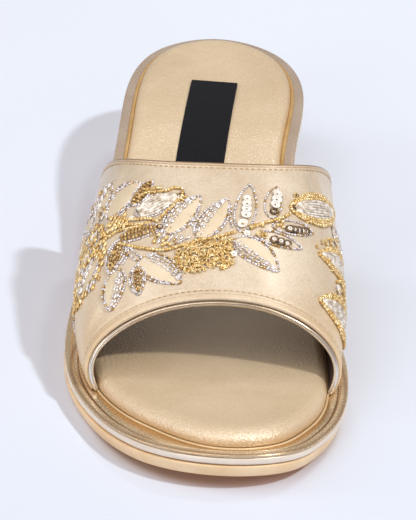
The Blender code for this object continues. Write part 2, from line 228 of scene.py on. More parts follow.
# %% Lines pressed into the leather, with painted shading along them
def pressed_lines_and_painted_shading(look, attribute, lines):
    """Press lines into a leather along an attribute in mm: depth e^-((d - line)/width)^2, and tint the foil
    there. The tint is painted shading: painted shade in the grooves and troughs, and a painted reflection on
    some lines.

    lines are (place in mm, width in mm, depth in mm, hex colour that the foil is multiplied by).
    """
    tree = look.node_tree
    shader = tree.nodes["Principled BSDF"]
    distance = add_node(tree, "Attribute", {"attribute_name": attribute}).outputs["Fac"]
    for line, width, depth, hex_colour in lines:
        offset = add_node(tree, "Math", {"operation": "MULTIPLY_ADD", 1: 1.0 / width, 2: -line / width},
                          {0: distance}).outputs[0]
        square = add_node(tree, "Math", {"operation": "MULTIPLY"}, {0: offset, 1: offset}).outputs[0]
        bell = add_node(tree, "Math", {"operation": "POWER", 0: 1.0 / math.e}, {1: square}).outputs[0]
        colour_from = shader.inputs["Base Color"].links[0].from_socket
        normal_from = shader.inputs["Normal"].links[0].from_socket
        painted_shading_tint = add_node(tree, "Mix", {"data_type": "RGBA", "blend_type": "MULTIPLY",
                                        7: linear(hex_colour)}, {0: bell, 6: colour_from})
        tree.links.new(painted_shading_tint.outputs[2], shader.inputs["Base Color"])
        groove = add_node(tree, "Bump", {"Strength": 1.0, "Distance": depth * MM, "invert": True},
                          {"Height": bell, "Normal": normal_from})
        tree.links.new(groove.outputs["Normal"], shader.inputs["Normal"])

# %% The shoe's leathers
# Soft foil on split hide: a satin sheen with fine glints under a thin gloss, and warmer gold low down.
band_leather = foil_leather(
    "champagne_foil_leather", [(0.3, "#C5B197"), (0.72, "#DED0BD")], metallic=0.08, roughness=0.42,
    grain=0.7, height=0.04, cloud=24.0, sparkle=0.16, turn=("Z", 40.0, 6.0),
    other_stops=[(0.3, "#E0C094"), (0.75, "#F5DCB4")], Coat_Weight=0.35, Coat_Roughness=0.28, Coat_IOR=2.0)
# Lines along the hems, read from the folded edges: a trough pressed beside each fold and browned there, which
# is painted shade, a faint warm tint on the front rim, and a brown line along the back rim.
pressed_lines_and_painted_shading(band_leather, "from_front", [(1.35, 0.2, 0.08, "#F0E2CA"), (0.35, 0.3, 0.0, "#FFF6E6")])
pressed_lines_and_painted_shading(band_leather, "from_back", [(1.0, 0.2, 0.10, "#DDBE92"), (0.0, 0.32, 0.0, "#A3886C")])
# Brushed pigskin without gloss, in a dark brown that is partly painted shade: it keeps the inside of the
# band, which lies in shade, dark.
band_lining = foil_leather(
    "pigskin_lining", [(0.3, "#594336"), (0.75, "#6E5646")], metallic=0.0, roughness=0.7, grain=0.9,
    height=0.04, cloud=18.0)
# Foil with a pressed stipple under a clear gloss that follows it, so that it glints point by point.
sock_leather = foil_leather(
    "champagne_sock_leather", [(0.3, "#D2B893"), (0.75, "#E3CDAD")], metallic=0.05, roughness=0.42,
    grain=0.75, height=0.17, cloud=30.0, sparkle=0.17, grained_coat=True,
    Coat_Weight=0.9, Coat_Roughness=0.30, Coat_IOR=2.3)
# Along the foot of the roll the foil is tinted warm gold, a painted reflection of the gold ledge beside it.
pressed_lines_and_painted_shading(sock_leather, "from_edge", [(0.0, 0.8, 0.0, "#F6E4C8")])
# The brightest foil, stretched over the board: clear reflections, broken up by fine crinkles.
ledge_leather = foil_leather(
    "gold_foil_rand_leather", [(0.3, "#D9C09C"), (0.75, "#F3E1C5")], metallic=0.66, roughness=0.27,
    grain=2.6, height=0.022, cloud=22.0, sparkle=0.02, other_stops=[(0.3, "#D4BFAC"), (0.75, "#E9D8C9")])
# Lines tinted into the foil by the distance from the edge: a grey line on the rolled edge is a painted dark
# reflection, and a brown line in the valley behind the roll and a broad gold-brown band in the trough beside
# the insole are painted shade.
pressed_lines_and_painted_shading(ledge_leather, "from_edge", [
    (0.45, 0.6, 0.0, "#D4C6BC"), (2.72, 0.3, 0.0, "#96703F"), (6.6, 1.6, 0.0, "#D9BA86")])
# A skived edge painted gold by hand: satin, and a darker gold from under the band back to the heel; under the
# band that darker gold is painted shade.
gilt_edge = foil_leather(
    "gilt_turned_edge", [(0.3, "#D3B48A"), (0.75, "#E6CCA6")], metallic=0.2, roughness=0.45, grain=0.8,
    height=0.004, cloud=12.0, other_stops=[(0.3, "#B8925A"), (0.75, "#D2B07C")], turn=("Y", -70.0, -10.0))
# Pearl foil pulled tight over plastic and board: nearly smooth and pale, with a soft broad sheen.
pearl_leather = foil_leather(
    "pearl_foil_wrap_leather", [(0.3, "#E2D2C0"), (0.75, "#F5EBDF")], metallic=0.3, roughness=0.36,
    grain=0.8, height=0.003, cloud=24.0, sparkle=0.04)
# Champagne foil bent round a cord: almost bare metal, with bright bands along the roll. Low down, towards the
# band's feet, its colour turns near white, a painted highlight.
piping_leather = foil_leather(
    "champagne_piping_leather", [(0.3, "#B49E84"), (0.75, "#D3C3AF")], metallic=0.85, roughness=0.24,
    grain=0.8, height=0.004, cloud=12.0, other_stops=[(0.3, "#D6CEC6"), (0.75, "#F2EEEA")],
    turn=("Z", 34.0, 16.0))
print("leathers:", [m.name for m in bpy.data.materials if "leather" in m.name])

# %% [markdown]
# ## Sole rubber
# The thin outsole is thermoplastic rubber, moulded with a fine ribbed tread and sprayed peach gold at the
# sides. The lift under the heel is harder rubber, cut from sheet and ground on a wheel, so it is matt.
# Ribs a millimetre deep in the mesh would cost many faces on a side that rarely shows, so they are a
# wave in the bump, let through only where the face points down.

# %% Rubber
def rubber(name, stops, roughness, metallic, rib, tread):
    """Moulded rubber with a fine stipple. The tread's face shows ribs across the shoe and its own colour."""
    look, tree, shader = new_look(name, Roughness=roughness, Metallic=metallic)
    place = add_node(tree, "TexCoord").outputs["Object"]
    clouds = add_node(tree, "TexNoise", {"Scale": per_metre(9.0), "Detail": 5.0}, {"Vector": place})
    tree.links.new(blend_colours(tree, clouds.outputs["Fac"], stops), shader.inputs["Base Color"])
    ribs = add_node(tree, "TexWave", {"Scale": math.pi / 10.0 * per_metre(rib), "bands_direction": "Y"},
                    {"Vector": place})
    facing = add_node(tree, "SeparateXYZ", links={
        "Vector": add_node(tree, "NewGeometry").outputs["True Normal"]})
    under = add_node(tree, "MapRange", {"From Min": -0.5, "From Max": -0.9}, {"Value": facing.outputs["Z"]})
    ribbed = add_node(tree, "Math", {"operation": "MULTIPLY"}, {0: ribs.outputs["Fac"],
                                                                1: under.outputs["Result"]})
    side_colour = shader.inputs["Base Color"].links[0].from_socket
    worn = add_node(tree, "Mix", {"data_type": "RGBA", 7: linear(tread)},
                    {0: under.outputs["Result"], 6: side_colour})
    tree.links.new(worn.outputs[2], shader.inputs["Base Color"])
    stipple = add_node(tree, "TexNoise", {"Scale": per_metre(0.6), "Detail": 2.0}, {"Vector": place})
    height = add_node(tree, "Math", {"operation": "MULTIPLY_ADD", 1: 8.0},
                      {0: ribbed.outputs[0], 2: stipple.outputs["Fac"]})
    bump = add_node(tree, "Bump", {"Strength": 1.0, "Distance": 0.05 * MM}, {"Height": height.outputs[0]})
    tree.links.new(bump.outputs["Normal"], shader.inputs["Normal"])
    return look


# Sprayed on the mould, so the side has a thin satin gold and the tread keeps the rubber's own orange.
outsole_rubber = rubber("moulded_outsole_rubber", [(0.3, "#EBC798"), (0.75, "#F7DBB5")], roughness=0.42,
                        metallic=0.1, rib=2.0, tread="#E09450")
# Ground on a wheel, which leaves an even dull brown.
lift_rubber = rubber("ground_lift_rubber", [(0.3, "#8C7250"), (0.75, "#A88C66")], roughness=0.6,
                     metallic=0.0, rib=1.5, tread="#8C7250")
print("rubbers:", outsole_rubber.name, "and", lift_rubber.name)

# %% [markdown]
# ## The sole's outline and its rings
# Everything under the foot follows one outline. It is a closed spline through twelve stations, and each
# piece of the sole is a stack of rings: the outline moved inwards by a distance, at a height that depends
# on the station. A profile of (distance in, height) pairs then shapes an edge as a lathe tool would.

# %% Named sizes of the shoe
TOE = (8.5, -125.0)
HEEL = (0.8, 125.0)
GAP = 0.3                   # clearance between touching pieces
PLATFORM = 3.6              # thickness of the wrapped board
TREAD_DROP = 8.2            # from the ledge's top to the tread
OUTSOLE_SHIFT = -0.5
BREAST_TOP_Y = 58.0
BREAST_FLOOR_Y = 62.5
LIFT = 3.0
WALL = 2.0                  # band: leather, interlining and lining together
PAD_EDGE_SHARE = 0.16
SPLINE_POINTS = 1920
STATIONS = 150              # steps from the toe to the heel, on each side

OUTLINE = np.array([
    # y,     outer, inner
    (-119.5, -12.5, 27.0), (-109.0, -24.2, 35.0), (-94.0, -33.6, 41.2), (-74.0, -41.6, 44.4),
    (-48.0, -44.6, 43.0), (-18.0, -42.4, 36.4), (12.0, -37.4, 29.8), (40.0, -33.6, 28.6),
    (66.0, -32.0, 31.6), (88.0, -30.2, 32.0), (105.5, -25.6, 27.4), (117.5, -17.4, 18.6),
])
LEDGE_PROFILE = np.array([
    # y,     z
    (-125.0, 13.7), (-110.0, 10.9), (-95.0, 8.9), (-80.0, 8.2), (-45.0, 8.2), (-20.0, 10.5),
    (5.0, 17.0), (30.0, 25.7), (55.0, 33.2), (80.0, 36.6), (105.0, 38.1), (125.0, 39.0),
])
PAD_PROFILE = np.array([
    # y,     thickness
    (-125.0, 5.4), (-108.0, 5.0), (-85.0, 4.2), (-30.0, 4.0), (60.0, 2.7), (125.0, 2.6),
])
print("length:", HEEL[1] - TOE[1], "mm, width:", np.ptp(OUTLINE[:, 1:]), "mm")

# %% Smooth curves through a table
def hermite(start, end, start_slope, end_slope, t):
    """Cubic over t from 0 to 1: y0(1-h) + y1 h + m0 (t3-2t2+t) + m1 (t3-t2), with h = 3t2-2t3."""
    h = 3.0 * t ** 2 - 2.0 * t ** 3
    return (start * (1.0 - h) + end * h + start_slope * (t ** 3 - 2.0 * t ** 2 + t)
            + end_slope * (t ** 3 - t ** 2))


def smooth_column(rows, column):
    """Reader of one column of a table, as a cubic of its first column that never overshoots.

    The slopes at the stations are the weighted harmonic means of the slopes on both sides, or zero
    where those have different signs.
    """
    xs, ys = rows[:, 0], rows[:, column]
    width = np.diff(xs)
    slope = np.diff(ys) / width
    before, after = 2.0 * width[1:] + width[:-1], width[1:] + 2.0 * width[:-1]
    same = slope[:-1] * slope[1:] > 0.0
    left, right = np.where(same, slope[:-1], 1.0), np.where(same, slope[1:], 1.0)
    inside = np.where(same, (before + after) / (before / left + after / right), 0.0)
    tangent = np.concatenate([slope[:1], inside, slope[-1:]])

    def read(x):
        x = np.clip(np.asarray(x, float), xs[0], xs[-1])
        i = np.clip(np.searchsorted(xs, x, side="right") - 1, 0, len(xs) - 2)
        return hermite(ys[i], ys[i + 1], width[i] * tangent[i], width[i] * tangent[i + 1],
                       (x - xs[i]) / width[i])

    return read


def closed_spline(points, count):
    """Points on a closed cubic spline with continuous curvature, spaced by chord length to the 0.75.

    The slopes at the knots solve one cyclic set of equations, which makes the curvature match there.
    """
    knots = np.array(points, float)
    total = len(knots)
    following = np.roll(knots, -1, axis=0)
    span = np.linalg.norm(following - knots, axis=1) ** 0.75
    last = np.roll(span, 1)
    here = np.arange(total)
    system = np.zeros((total, total))
    system[here, (here - 1) % total] += span
    system[here, here] += 2.0 * (last + span)
    system[here, (here + 1) % total] += last
    right = 3.0 * ((span / last)[:, None] * (knots - np.roll(knots, 1, axis=0))
                   + (last / span)[:, None] * (following - knots))
    tangent = np.linalg.solve(system, right)
    start = np.concatenate([[0.0], np.cumsum(span)])
    where = np.linspace(0.0, start[-1], count, endpoint=False)
    i = np.clip(np.searchsorted(start, where, side="right") - 1, 0, total - 1)
    width = span[i][:, None]
    return hermite(knots[i], following[i], tangent[i] * width, tangent[(i + 1) % total] * width,
                   (where - start[i])[:, None] / width)


ledge = smooth_column(LEDGE_PROFILE, 1)
pad_thickness = smooth_column(PAD_PROFILE, 1)
OUTLINE_LOOP = closed_spline(
    [TOE] + [(row[1], row[0]) for row in OUTLINE] + [HEEL] + [(row[2], row[0]) for row in OUTLINE[::-1]],
    SPLINE_POINTS)
print("outline:", OUTLINE_LOOP.min(axis=0).round(1), "to", OUTLINE_LOOP.max(axis=0).round(1))

# %% Rings
def unit(vectors):
    """Vectors scaled to length 1."""
    return vectors / np.linalg.norm(vectors, axis=-1)[..., None]


def inset_loop(inset):
    """The outline moved inwards along its normal: p + inset n, with n the level normal that points in."""
    loop = OUTLINE_LOOP
    along = unit(np.roll(loop, -1, axis=0) - np.roll(loop, 1, axis=0))
    inward = np.stack([along[:, 1], -along[:, 0]], axis=1)
    if ((loop.mean(axis=0) - loop) * inward).sum() < 0.0:
        inward = -inward
    return loop + inward * np.broadcast_to(inset, len(loop))[:, None]


def side_curves(loop):
    """The outer and inner sides of a loop, each from the toe to the heel."""
    loop = np.roll(loop, -int(np.argmin(loop[:, 1])), axis=0)
    back = int(np.argmax(loop[:, 1]))
    first, second = loop[:back + 1], np.vstack([loop[back:], loop[:1]])[::-1]
    return (first, second) if first[:, 0].mean() < second[:, 0].mean() else (second, first)


def ring(inset, height, start_y=None, end_y=None, shift=0.0):
    """One closed ring, up the outer side and back down the inner side, with z = height(y).

    Stations lie at y = low + (high-low)(c(a)-c(t))/(c(a)-c(b)) with c the cosine, so they gather at tips.
    """
    outer, inner = side_curves(inset_loop(inset))
    low = outer[0, 1] if start_y is None else start_y
    high = outer[-1, 1] if end_y is None else end_y
    turn = (0.0 if start_y is None else 0.5, 1.0 if end_y is None else 0.5)
    wave = np.cos(math.pi * np.linspace(*turn, STATIONS + 1))
    y = low + (high - low) * (wave[0] - wave) / (wave[0] - wave[-1])
    z = height(y)
    up = np.stack([np.interp(y, outer[:, 1], outer[:, 0]) + shift, y, z], axis=1)
    down = np.stack([np.interp(y, inner[:, 1], inner[:, 0]) + shift, y, z], axis=1)[::-1]
    return np.vstack([up, down[0 if end_y is not None else 1:len(down) if start_y is not None else -1]])


def midline(points, has_front_tip=True):
    """A ring drawn in to the shoe's long axis: each point goes halfway to its partner on the other side."""
    count = len(points)
    partner = (count - np.arange(count) - (0 if has_front_tip else 1)) % count
    return 0.5 * (points + points[partner])


def stacked(name, rings, has_front_tip=True, marks=()):
    """A closed shell from rings, bottom ring first, shut below and above along the long axis.

    marks: distances in mm along each ring, kept on its points as the attribute from_edge.
    """
    rings = [midline(rings[0], has_front_tip), *rings, midline(rings[-1], has_front_tip)]
    marks = {"from_edge": np.concatenate([marks[0], *marks, marks[-1]])} if marks else {}
    return shell_of(name, np.array(rings), wrap_columns=True, **marks)


def drop_rings(profile, **cut):
    """Rings at (distance in, drop below the ledge's top)."""
    return [ring(inset, lambda y, d=drop: ledge(y) - d, **cut) for inset, drop in profile]


print("points in a ring:", len(ring(0.0, ledge)))

# %% [markdown]
# ## The outsole
# A thin moulded sheet runs from the toe to the front of the heel block. Its side leans in towards the
# tread, so the profile starts 2 mm in at the bottom and comes out to the platform's edge at the top. A
# flat slab bent by a modifier would do as well, but rings follow the toe's spring and the arch exactly.

# %% Outsole
outsole_profile = [
    # distance in, drop below the ledge's top
    (9.0, TREAD_DROP), (3.0, TREAD_DROP), (2.2, 8.18), (1.7, 8.05), (1.35, 7.80), (1.10, 7.40),
    (0.85, 6.80), (0.55, 6.00), (0.36, 5.10), (0.26, 4.50), (0.28, 4.25), (0.42, 4.05), (0.75, 3.95),
    (1.3, 3.92), (9.0, 3.92),
]
finish_piece(
    stacked("outsole_sheet", drop_rings(outsole_profile, end_y=BREAST_TOP_Y - GAP, shift=OUTSOLE_SHIFT)),
    outsole_rubber, ["outsole"], sharp_angle=50)

# %% [markdown]
# ## The platform
# The board is wrapped in pearl foil leather. A strip of gold foil leather covers its top and is skived,
# turned over the edge and cut 1.2 mm below it, which leaves a bright rolled edge with a dark line under
# it. Beside the insole the strip dips into a narrow groove, where the insole and the band are tucked in.
# A Bevel modifier would round every edge alike, and here each edge has a turn of its own, so the two pieces
# are profiles too. Lines of painted shade and painted reflection follow the mark that each ring carries.

# %% Insole edge and groove
def bell(distance, spread):
    """e^-(d/s)^2: 1 at no distance, and nearly 0 two spreads away."""
    return np.exp(-(distance / spread) ** 2)


def step_down(distance, width):
    """1/(1 + e^(d/w)): 1 well before a place, 0 well past it."""
    return 1.0 / (1.0 + np.exp(distance / width))


def pad_inset(x, y):
    """Width of the bare ledge, 4.8 mm with broad swells at the ball, the heel and the inner toe.

    w = 4.8 + 0.9 b(y+120, 18) + 2 b(y+62, 38) + 0.7 b(y-125, 16) + 3 b(x+18, 22) b(y+112, 22)
        + (0.6 b(x-33, 11) - 1.8 b(x-5, 16)) / (1 + e^((y+100)/4)), with b the bell.
    """
    return (4.8 + 0.9 * bell(y + 120.0, 18.0) + 2.0 * bell(y + 62.0, 38.0) + 0.7 * bell(y - 125.0, 16.0)
            + 3.0 * bell(x + 18.0, 22.0) * bell(y + 112.0, 22.0)
            + step_down(y + 100.0, 4.0) * (0.6 * bell(x - 33.0, 11.0) - 1.8 * bell(x - 5.0, 16.0)))


def toe_share(y):
    """1 at the toe and 0 at the heel, halfway at the ball of the foot."""
    return step_down(y + 45.0, 9.0)


PAD_EDGE = pad_inset(*OUTLINE_LOOP.T)
rand_profile = [
    # distance in, drop below the ledge's top at the toe, and at the heel, and the place of the ring in the
    # lines of painted shade and reflection, which is the distance in where it isn't given
    (9.0, 1.12, 1.12), (1.2, 1.12, 1.12), (0.4, 1.10, 1.10), (0.12, 1.0, 1.0), (0.0, 0.82, 0.82),
    (-0.02, 0.6, 0.6), (0.06, 0.4, 0.4), (0.2, 0.24, 0.24), (0.45, 0.1, 0.12), (0.8, 0.0, 0.05),
    (1.2, -0.08, 0.02), (1.6, -0.13, 0.0), (2.0, -0.12, 0.0), (2.25, -0.02, 0.0), (2.42, 0.14, 0.0),
    (2.56, 0.32, 0.0), (2.72, 0.4, 0.0), (2.88, 0.32, 0.0), (3.05, 0.12, 0.0), (3.2, 0.02, 0.0),
    (3.35, 0.0, 0.0), (0.5 * (PAD_EDGE + 2.6), 0.28, 0.02, 5.2), (PAD_EDGE - 0.85, -0.03, -0.03, 6.5),
    (PAD_EDGE - 0.7, 0.04, 0.04, 6.8), (PAD_EDGE - 0.6, 0.30, 0.30, 7.2), (PAD_EDGE - 0.45, 0.55, 0.55, 7.2),
    (PAD_EDGE + 0.8, 0.55, 0.55, 7.2), (PAD_EDGE + 4.0, 0.40, 0.40, 7.2),
]
HEEL_MARK_SHIFT = 12.0      # keeps the toe's lines of painted shade and reflection off the heel
rand_rings = [ring(row[0], lambda y, a=row[1], b=row[2]: ledge(y) - b - (a - b) * toe_share(y))
              for row in rand_profile]
rand_marks = [(*row, row[0])[3] - HEEL_MARK_SHIFT * (1.0 - toe_share(points[:, 1]))
              for row, points in zip(rand_profile, rand_rings)]
finish_piece(stacked("platform_rand", rand_rings, marks=rand_marks), ledge_leather,
             ["platform"])

wrap_profile = [
    # distance in, drop below the ledge's top
    (9.0, 3.60), (1.6, 3.60), (0.8, 3.56), (0.38, 3.42), (0.14, 3.2), (0.02, 2.9), (-0.04, 2.5),
    (-0.02, 2.0), (0.03, 1.68), (0.14, 1.44), (0.36, 1.26), (0.8, 1.2), (9.0, 1.2),
]
finish_piece(stacked("platform_wrap", drop_rings(wrap_profile)), pearl_leather,
             ["platform"])

# %% [markdown]
# ## The heel block and its lift
# The block is plastic, covered in the same pearl leather before it is screwed on. Its sides stand almost
# flush with the platform and taper a little to the floor, where a rubber lift 3 mm thick is nailed on.
# The block's top has to follow the seat and its foot has to be flat. A box cut to shape by a Boolean
# modifier would have slivers along the seat, so here each ring of the profile lies a share of the way
# between the two heights.

# %% Heel block
def block_ring(inset, share):
    """Ring a share of the way from the platform down to the lift: z = (1-s)(ledge - 3.9) + 3.3 s."""
    start = BREAST_TOP_Y + (BREAST_FLOOR_Y - BREAST_TOP_Y) * share
    return ring(inset, lambda y: (1.0 - share) * (ledge(y) - PLATFORM - GAP) + share * (LIFT + GAP),
                start_y=start)


block_profile = [
    # distance in, share of the way down
    (9.0, 1.0), (4.2, 1.0), (3.6, 0.997), (3.2, 0.985), (3.0, 0.96), (2.7, 0.88), (2.35, 0.76),
    (2.0, 0.62), (1.65, 0.48), (1.3, 0.34), (1.0, 0.2), (0.78, 0.09), (0.72, 0.045), (0.78, 0.02),
    (1.0, 0.006), (1.5, 0.0), (9.0, 0.0),
]
finish_piece(stacked("heel_wrap", [block_ring(*row) for row in block_profile], False),
             pearl_leather, ["heel_block"], sharp_angle=60)

lift_profile = [
    # distance in, height
    (9.0, 0.0), (4.0, 0.0), (3.65, 0.12), (3.45, 0.4), (3.36, 1.2), (3.34, 2.4), (3.45, 2.85),
    (3.7, 2.98), (9.0, 3.0),
]
finish_piece(
    stacked("heel_lift", [ring(inset, lambda y, h=height: 0.0 * y + h, start_y=BREAST_FLOOR_Y + 0.2)
                          for inset, height in lift_profile], False),
    lift_rubber, ["heel_top_piece"], sharp_angle=60)

# %% [markdown]
# ## The padded insole
# Foam covered in soft leather and glued down: there is a wide soft roll at the toe and a tight one behind.
# A cloth simulation could swell it, but its shape is set by the last and is known, so it is a formula: a
# quarter round from the edge up to full thickness, a shallow dish under the heel, and a low ridge between
# the toes and the ball. Slow waves a tenth of a millimetre high keep the cover from looking machined.

# %% Insole cushion
def pad_roll(x, y):
    """Width of the climb to full thickness: 3.6 + (3 + 1.2 e^-((x+13)/15)^2)/(1 + e^((y+92)/5))."""
    return 3.6 + (3.0 + 1.2 * bell(x + 13.0, 15.0)) * step_down(y + 92.0, 5.0)


def pad_height(y, share):
    """Height above the platform at a share s of the roll: thickness (e + (1-e) sqrt(1-(1-s)^2))."""
    climb = np.sqrt(1.0 - (1.0 - share) ** 2)
    return pad_thickness(y) * (PAD_EDGE_SHARE + (1.0 - PAD_EDGE_SHARE) * climb)


def pad_relief(x, y, share):
    """Dish under the heel, toe ridge and slow waves; share is 0 at the roll and 1 on the long axis."""
    dish = -0.5 * bell(y - 88.0, 26.0) - 0.35 * bell(y + 55.0, 24.0)
    ridge = 0.35 * bell(y + 92.0, 9.0)
    waves = 0.05 * np.sin(x / 7.0 + y / 19.0) + 0.04 * np.sin(y / 11.0 - x / 13.0 + 1.0)
    return (dish + ridge + waves) * np.sin(0.5 * math.pi * share)


ROLL_RINGS, TOP_RINGS = 12, 11
PAST_THE_ROLL = 3.0         # mark of the top's rings, in widths of the roll, where the painted reflection has ended


def cushion_rings():
    """Rings of the underside, turned edge, quarter-round roll and top, and their shares of the roll."""
    rings = [ring(PAD_EDGE + inset, lambda y, h=lift: ledge(y) + GAP + h)
             for inset, lift in ((2.0, 0.0), (0.6, 0.0), (0.2, 0.08))]
    rings.append(ring(PAD_EDGE, lambda y: ledge(y) + GAP + 0.6 * pad_height(y, 0.0)))
    shares = [0.0] * len(rings) + [1.0 - math.cos(turned) for turned in
                                   np.linspace(0.0, 0.5 * math.pi, ROLL_RINGS)]
    rings += [ring(PAD_EDGE + share * pad_roll(*OUTLINE_LOOP.T),
                   lambda y, s=share: ledge(y) + GAP + pad_height(y, s)) for share in shares[-ROLL_RINGS:]]
    last = rings[-1]
    centre = midline(last)
    middle_y = 0.5 * (centre[:, 1].min() + centre[:, 1].max())
    centre[:, 1] = middle_y + 0.86 * (centre[:, 1] - middle_y)
    for share in np.linspace(0.0, 1.0, TOP_RINGS + 1)[1:]:
        row = last + (centre - last) * share
        row[:, 2] = (ledge(row[:, 1]) + GAP + pad_thickness(row[:, 1])
                     + pad_relief(row[:, 0], row[:, 1], share))
        rings.append(row)
    return rings, shares + [PAST_THE_ROLL] * TOP_RINGS


cushion_rows, roll_shares = cushion_rings()
cushion_marks = [share * pad_roll(row[:, 0], row[:, 1]) for share, row in zip(roll_shares, cushion_rows)]
cushion = finish_piece(stacked("insole_cushion", cushion_rows, marks=cushion_marks), sock_leather,
                       ["insole_pad"])

# %% [markdown]
# ## The gilt turned edge
# The foil strip's inner edge is gilded and rolled down into the groove beside the insole. Only a thin
# bright cord of it shows, stouter along the sides than at the toe. A bevelled curve would draw a cord of
# one thickness, while a circle carried round the ring can swell on its way.

# %% Gilt edge
def circle(steps):
    """Angles of even steps round a circle."""
    return 2.0 * math.pi * np.arange(steps) / steps


def ring_cord(path, radius, sides):
    """Tube round a closed path: p + r (cos a n + sin a z), n = the path's level normal. r may vary."""
    angle = circle(sides)
    along = np.roll(path, -1, axis=0) - np.roll(path, 1, axis=0)
    normal = np.stack([along[:, 1], -along[:, 0], 0.0 * along[:, 0]], axis=1)
    normal /= np.hypot(along[:, 0], along[:, 1])[:, None]
    return (path[:, None] + (radius[:, None] * np.cos(angle))[..., None] * normal[:, None]
            + (radius[:, None] * np.sin(angle))[..., None] * np.array([0.0, 0.0, 1.0]))


groove = ring(PAD_EDGE - 0.32 - 0.3 * (1.0 - toe_share(OUTLINE_LOOP[:, 1])), lambda y: ledge(y) + 0.1)
gilt_radius = 0.42 + 0.38 * (1.0 - toe_share(groove[:, 1]))
finish_piece(shell_of("turned_gilt_edge", ring_cord(groove, gilt_radius, 10), True, True),
             gilt_edge)

# %% [markdown]
# ## The band's surface
# The band is lasted leather: it springs out of the groove beside the insole, swells over the sides of the
# foot, and runs flat over the top. It could be sculpted, or draped as cloth over a last, but its form is
# a smooth one that a few numbers hold: each section across it is a superellipse, whose exponent grows
# from 2 at the front, an arch, to 3.6 at the back, a rounded box. Low down the section tucks in
# to the groove. All later work on the band reads one dense grid of this surface.

# %% Band sections
BAND = np.array([
    # v,   foot_outer, foot_inner, reach_outer, reach_inner, crown_x, crown_y, crown_z, square, sweep
    (0.0, -81.0, -78.5, -39.4, 44.2, 4.5, -73.4, 37.5, 2.05, 1.2),
    (0.35, -50.0, -47.0, -43.0, 45.0, 4.0, -56.6, 45.3, 2.60, 2.0),
    (0.7, -17.0, -17.0, -41.2, 43.0, 4.0, -39.0, 52.8, 3.10, 2.6),
    (1.0, 12.0, 10.0, -36.8, 40.8, 4.0, -23.0, 58.2, 3.60, 2.9),
])
TUCK_HEIGHT = 0.6           # share of the climb below which a section tucks in
GRID_V, GRID_U = 121, 401   # rows from the front edge back, columns from the outer foot to the inner
SECTION_STEPS = 601         # points of a section before it is made even
BAND_ROWS = np.linspace(0.0, 1.0, GRID_V)


def run_length(points):
    """Distance along a path at each of its points."""
    return np.concatenate([[0.0], np.cumsum(np.linalg.norm(np.diff(points, axis=0), axis=1))])


def read_path(where, at, points):
    """Points of a path at the places where, when its own points lie at the places at."""
    return np.stack([np.interp(where, at, column) for column in points.T], axis=1)


def pad_edge(y, side):
    """x of the cushion's edge on the outer (-1) or inner (+1) side."""
    edge = side_curves(inset_loop(PAD_EDGE))[0 if side < 0 else 1]
    return np.interp(y, edge[:, 1], edge[:, 0])

# %% The band's surface
def band_surface():
    """The band's outer face on an even grid, its inward normal, and the distance from the crown line.

    With a from 0 to pi: across = -sgn(cos a)|cos a|^(2/n), climb = sin(a)^(2/n),
    x = middle + half across + (crown - middle)(1 - across^2) + tuck, y = foot + (crown - foot) climb^sweep,
    z = foot + (crown - foot) climb. Each row is then read again at even steps of its own length.
    """
    (foot_outer, foot_inner, reach_outer, reach_inner, crown_x, crown_y, crown_z, square,
     sweep) = [smooth_column(BAND, k)(BAND_ROWS)[:, None] for k in range(1, BAND.shape[1])]
    angle = np.linspace(0.0, math.pi, SECTION_STEPS)[None, :]
    across = -np.sign(np.cos(angle)) * np.abs(np.cos(angle)) ** (2.0 / square)
    climb = np.sin(angle).clip(0.0, 1.0) ** (2.0 / square)
    middle, half = 0.5 * (reach_outer + reach_inner), 0.5 * (reach_inner - reach_outer)
    x = middle + half * across + (crown_x - middle) * (1.0 - across ** 2)
    tuck = np.clip(1.0 - climb / TUCK_HEIGHT, 0.0, 1.0) ** 2
    x += tuck * np.where(across < 0.0, pad_edge(foot_outer, -1) - GAP - WALL - reach_outer,
                         pad_edge(foot_inner, 1) + GAP + WALL - reach_inner)
    to_inner = 0.5 * (1.0 + across)
    foot_y = foot_outer + (foot_inner - foot_outer) * to_inner
    foot_z = ledge(foot_outer) * (1.0 - to_inner) + ledge(foot_inner) * to_inner + GAP
    curve = np.stack([x, foot_y + (crown_y - foot_y) * climb ** sweep,
                      foot_z + (crown_z - foot_z) * climb], axis=2)
    length = np.array([run_length(row) for row in curve])
    columns = np.concatenate([curve, climb[..., None]], axis=2)
    even = np.array([read_path(np.linspace(0.0, row[-1], GRID_U), row, values)
                     for row, values in zip(length, columns)])
    surface, height = even[..., :3], even[..., 3]
    normal = np.cross(np.gradient(surface, axis=1), np.gradient(surface, axis=0))
    normal[..., 2] *= np.clip(height / 0.3, 0.0, 1.0)
    normal = unit(normal)
    if normal[GRID_V // 2, GRID_U // 2, 2] > 0.0:
        normal = -normal
    return surface, normal, length[:, -1], length[:, SECTION_STEPS // 2]


BAND_GRID, BAND_INWARD, BAND_LENGTH, CROWN_AT = band_surface()
LENGTHWISE = np.array([run_length(column) for column in BAND_GRID.transpose(1, 0, 2)]).T
print("band: front edge", BAND_LENGTH[0].round(1), "mm, back edge", BAND_LENGTH[-1].round(1), "mm, top",
      LENGTHWISE[-1, GRID_U // 2].round(1), "mm front to back")

# %% Reading the surface
def read_grid(grid, v, u):
    """Bilinear reading of a grid at v and u from 0 to 1."""
    row, column = np.clip(v, 0.0, 1.0) * (GRID_V - 1), np.clip(u, 0.0, 1.0) * (GRID_U - 1)
    r, c = np.minimum(row.astype(int), GRID_V - 2), np.minimum(column.astype(int), GRID_U - 2)
    a, b = row - r, column - c
    if grid.ndim == 3:
        a, b = a[..., None], b[..., None]
    return ((1 - a) * ((1 - b) * grid[r, c] + b * grid[r, c + 1])
            + a * ((1 - b) * grid[r + 1, c] + b * grid[r + 1, c + 1]))


CHART_DEPTH = 60.0          # mm on the chart from the band's front edge to its back edge


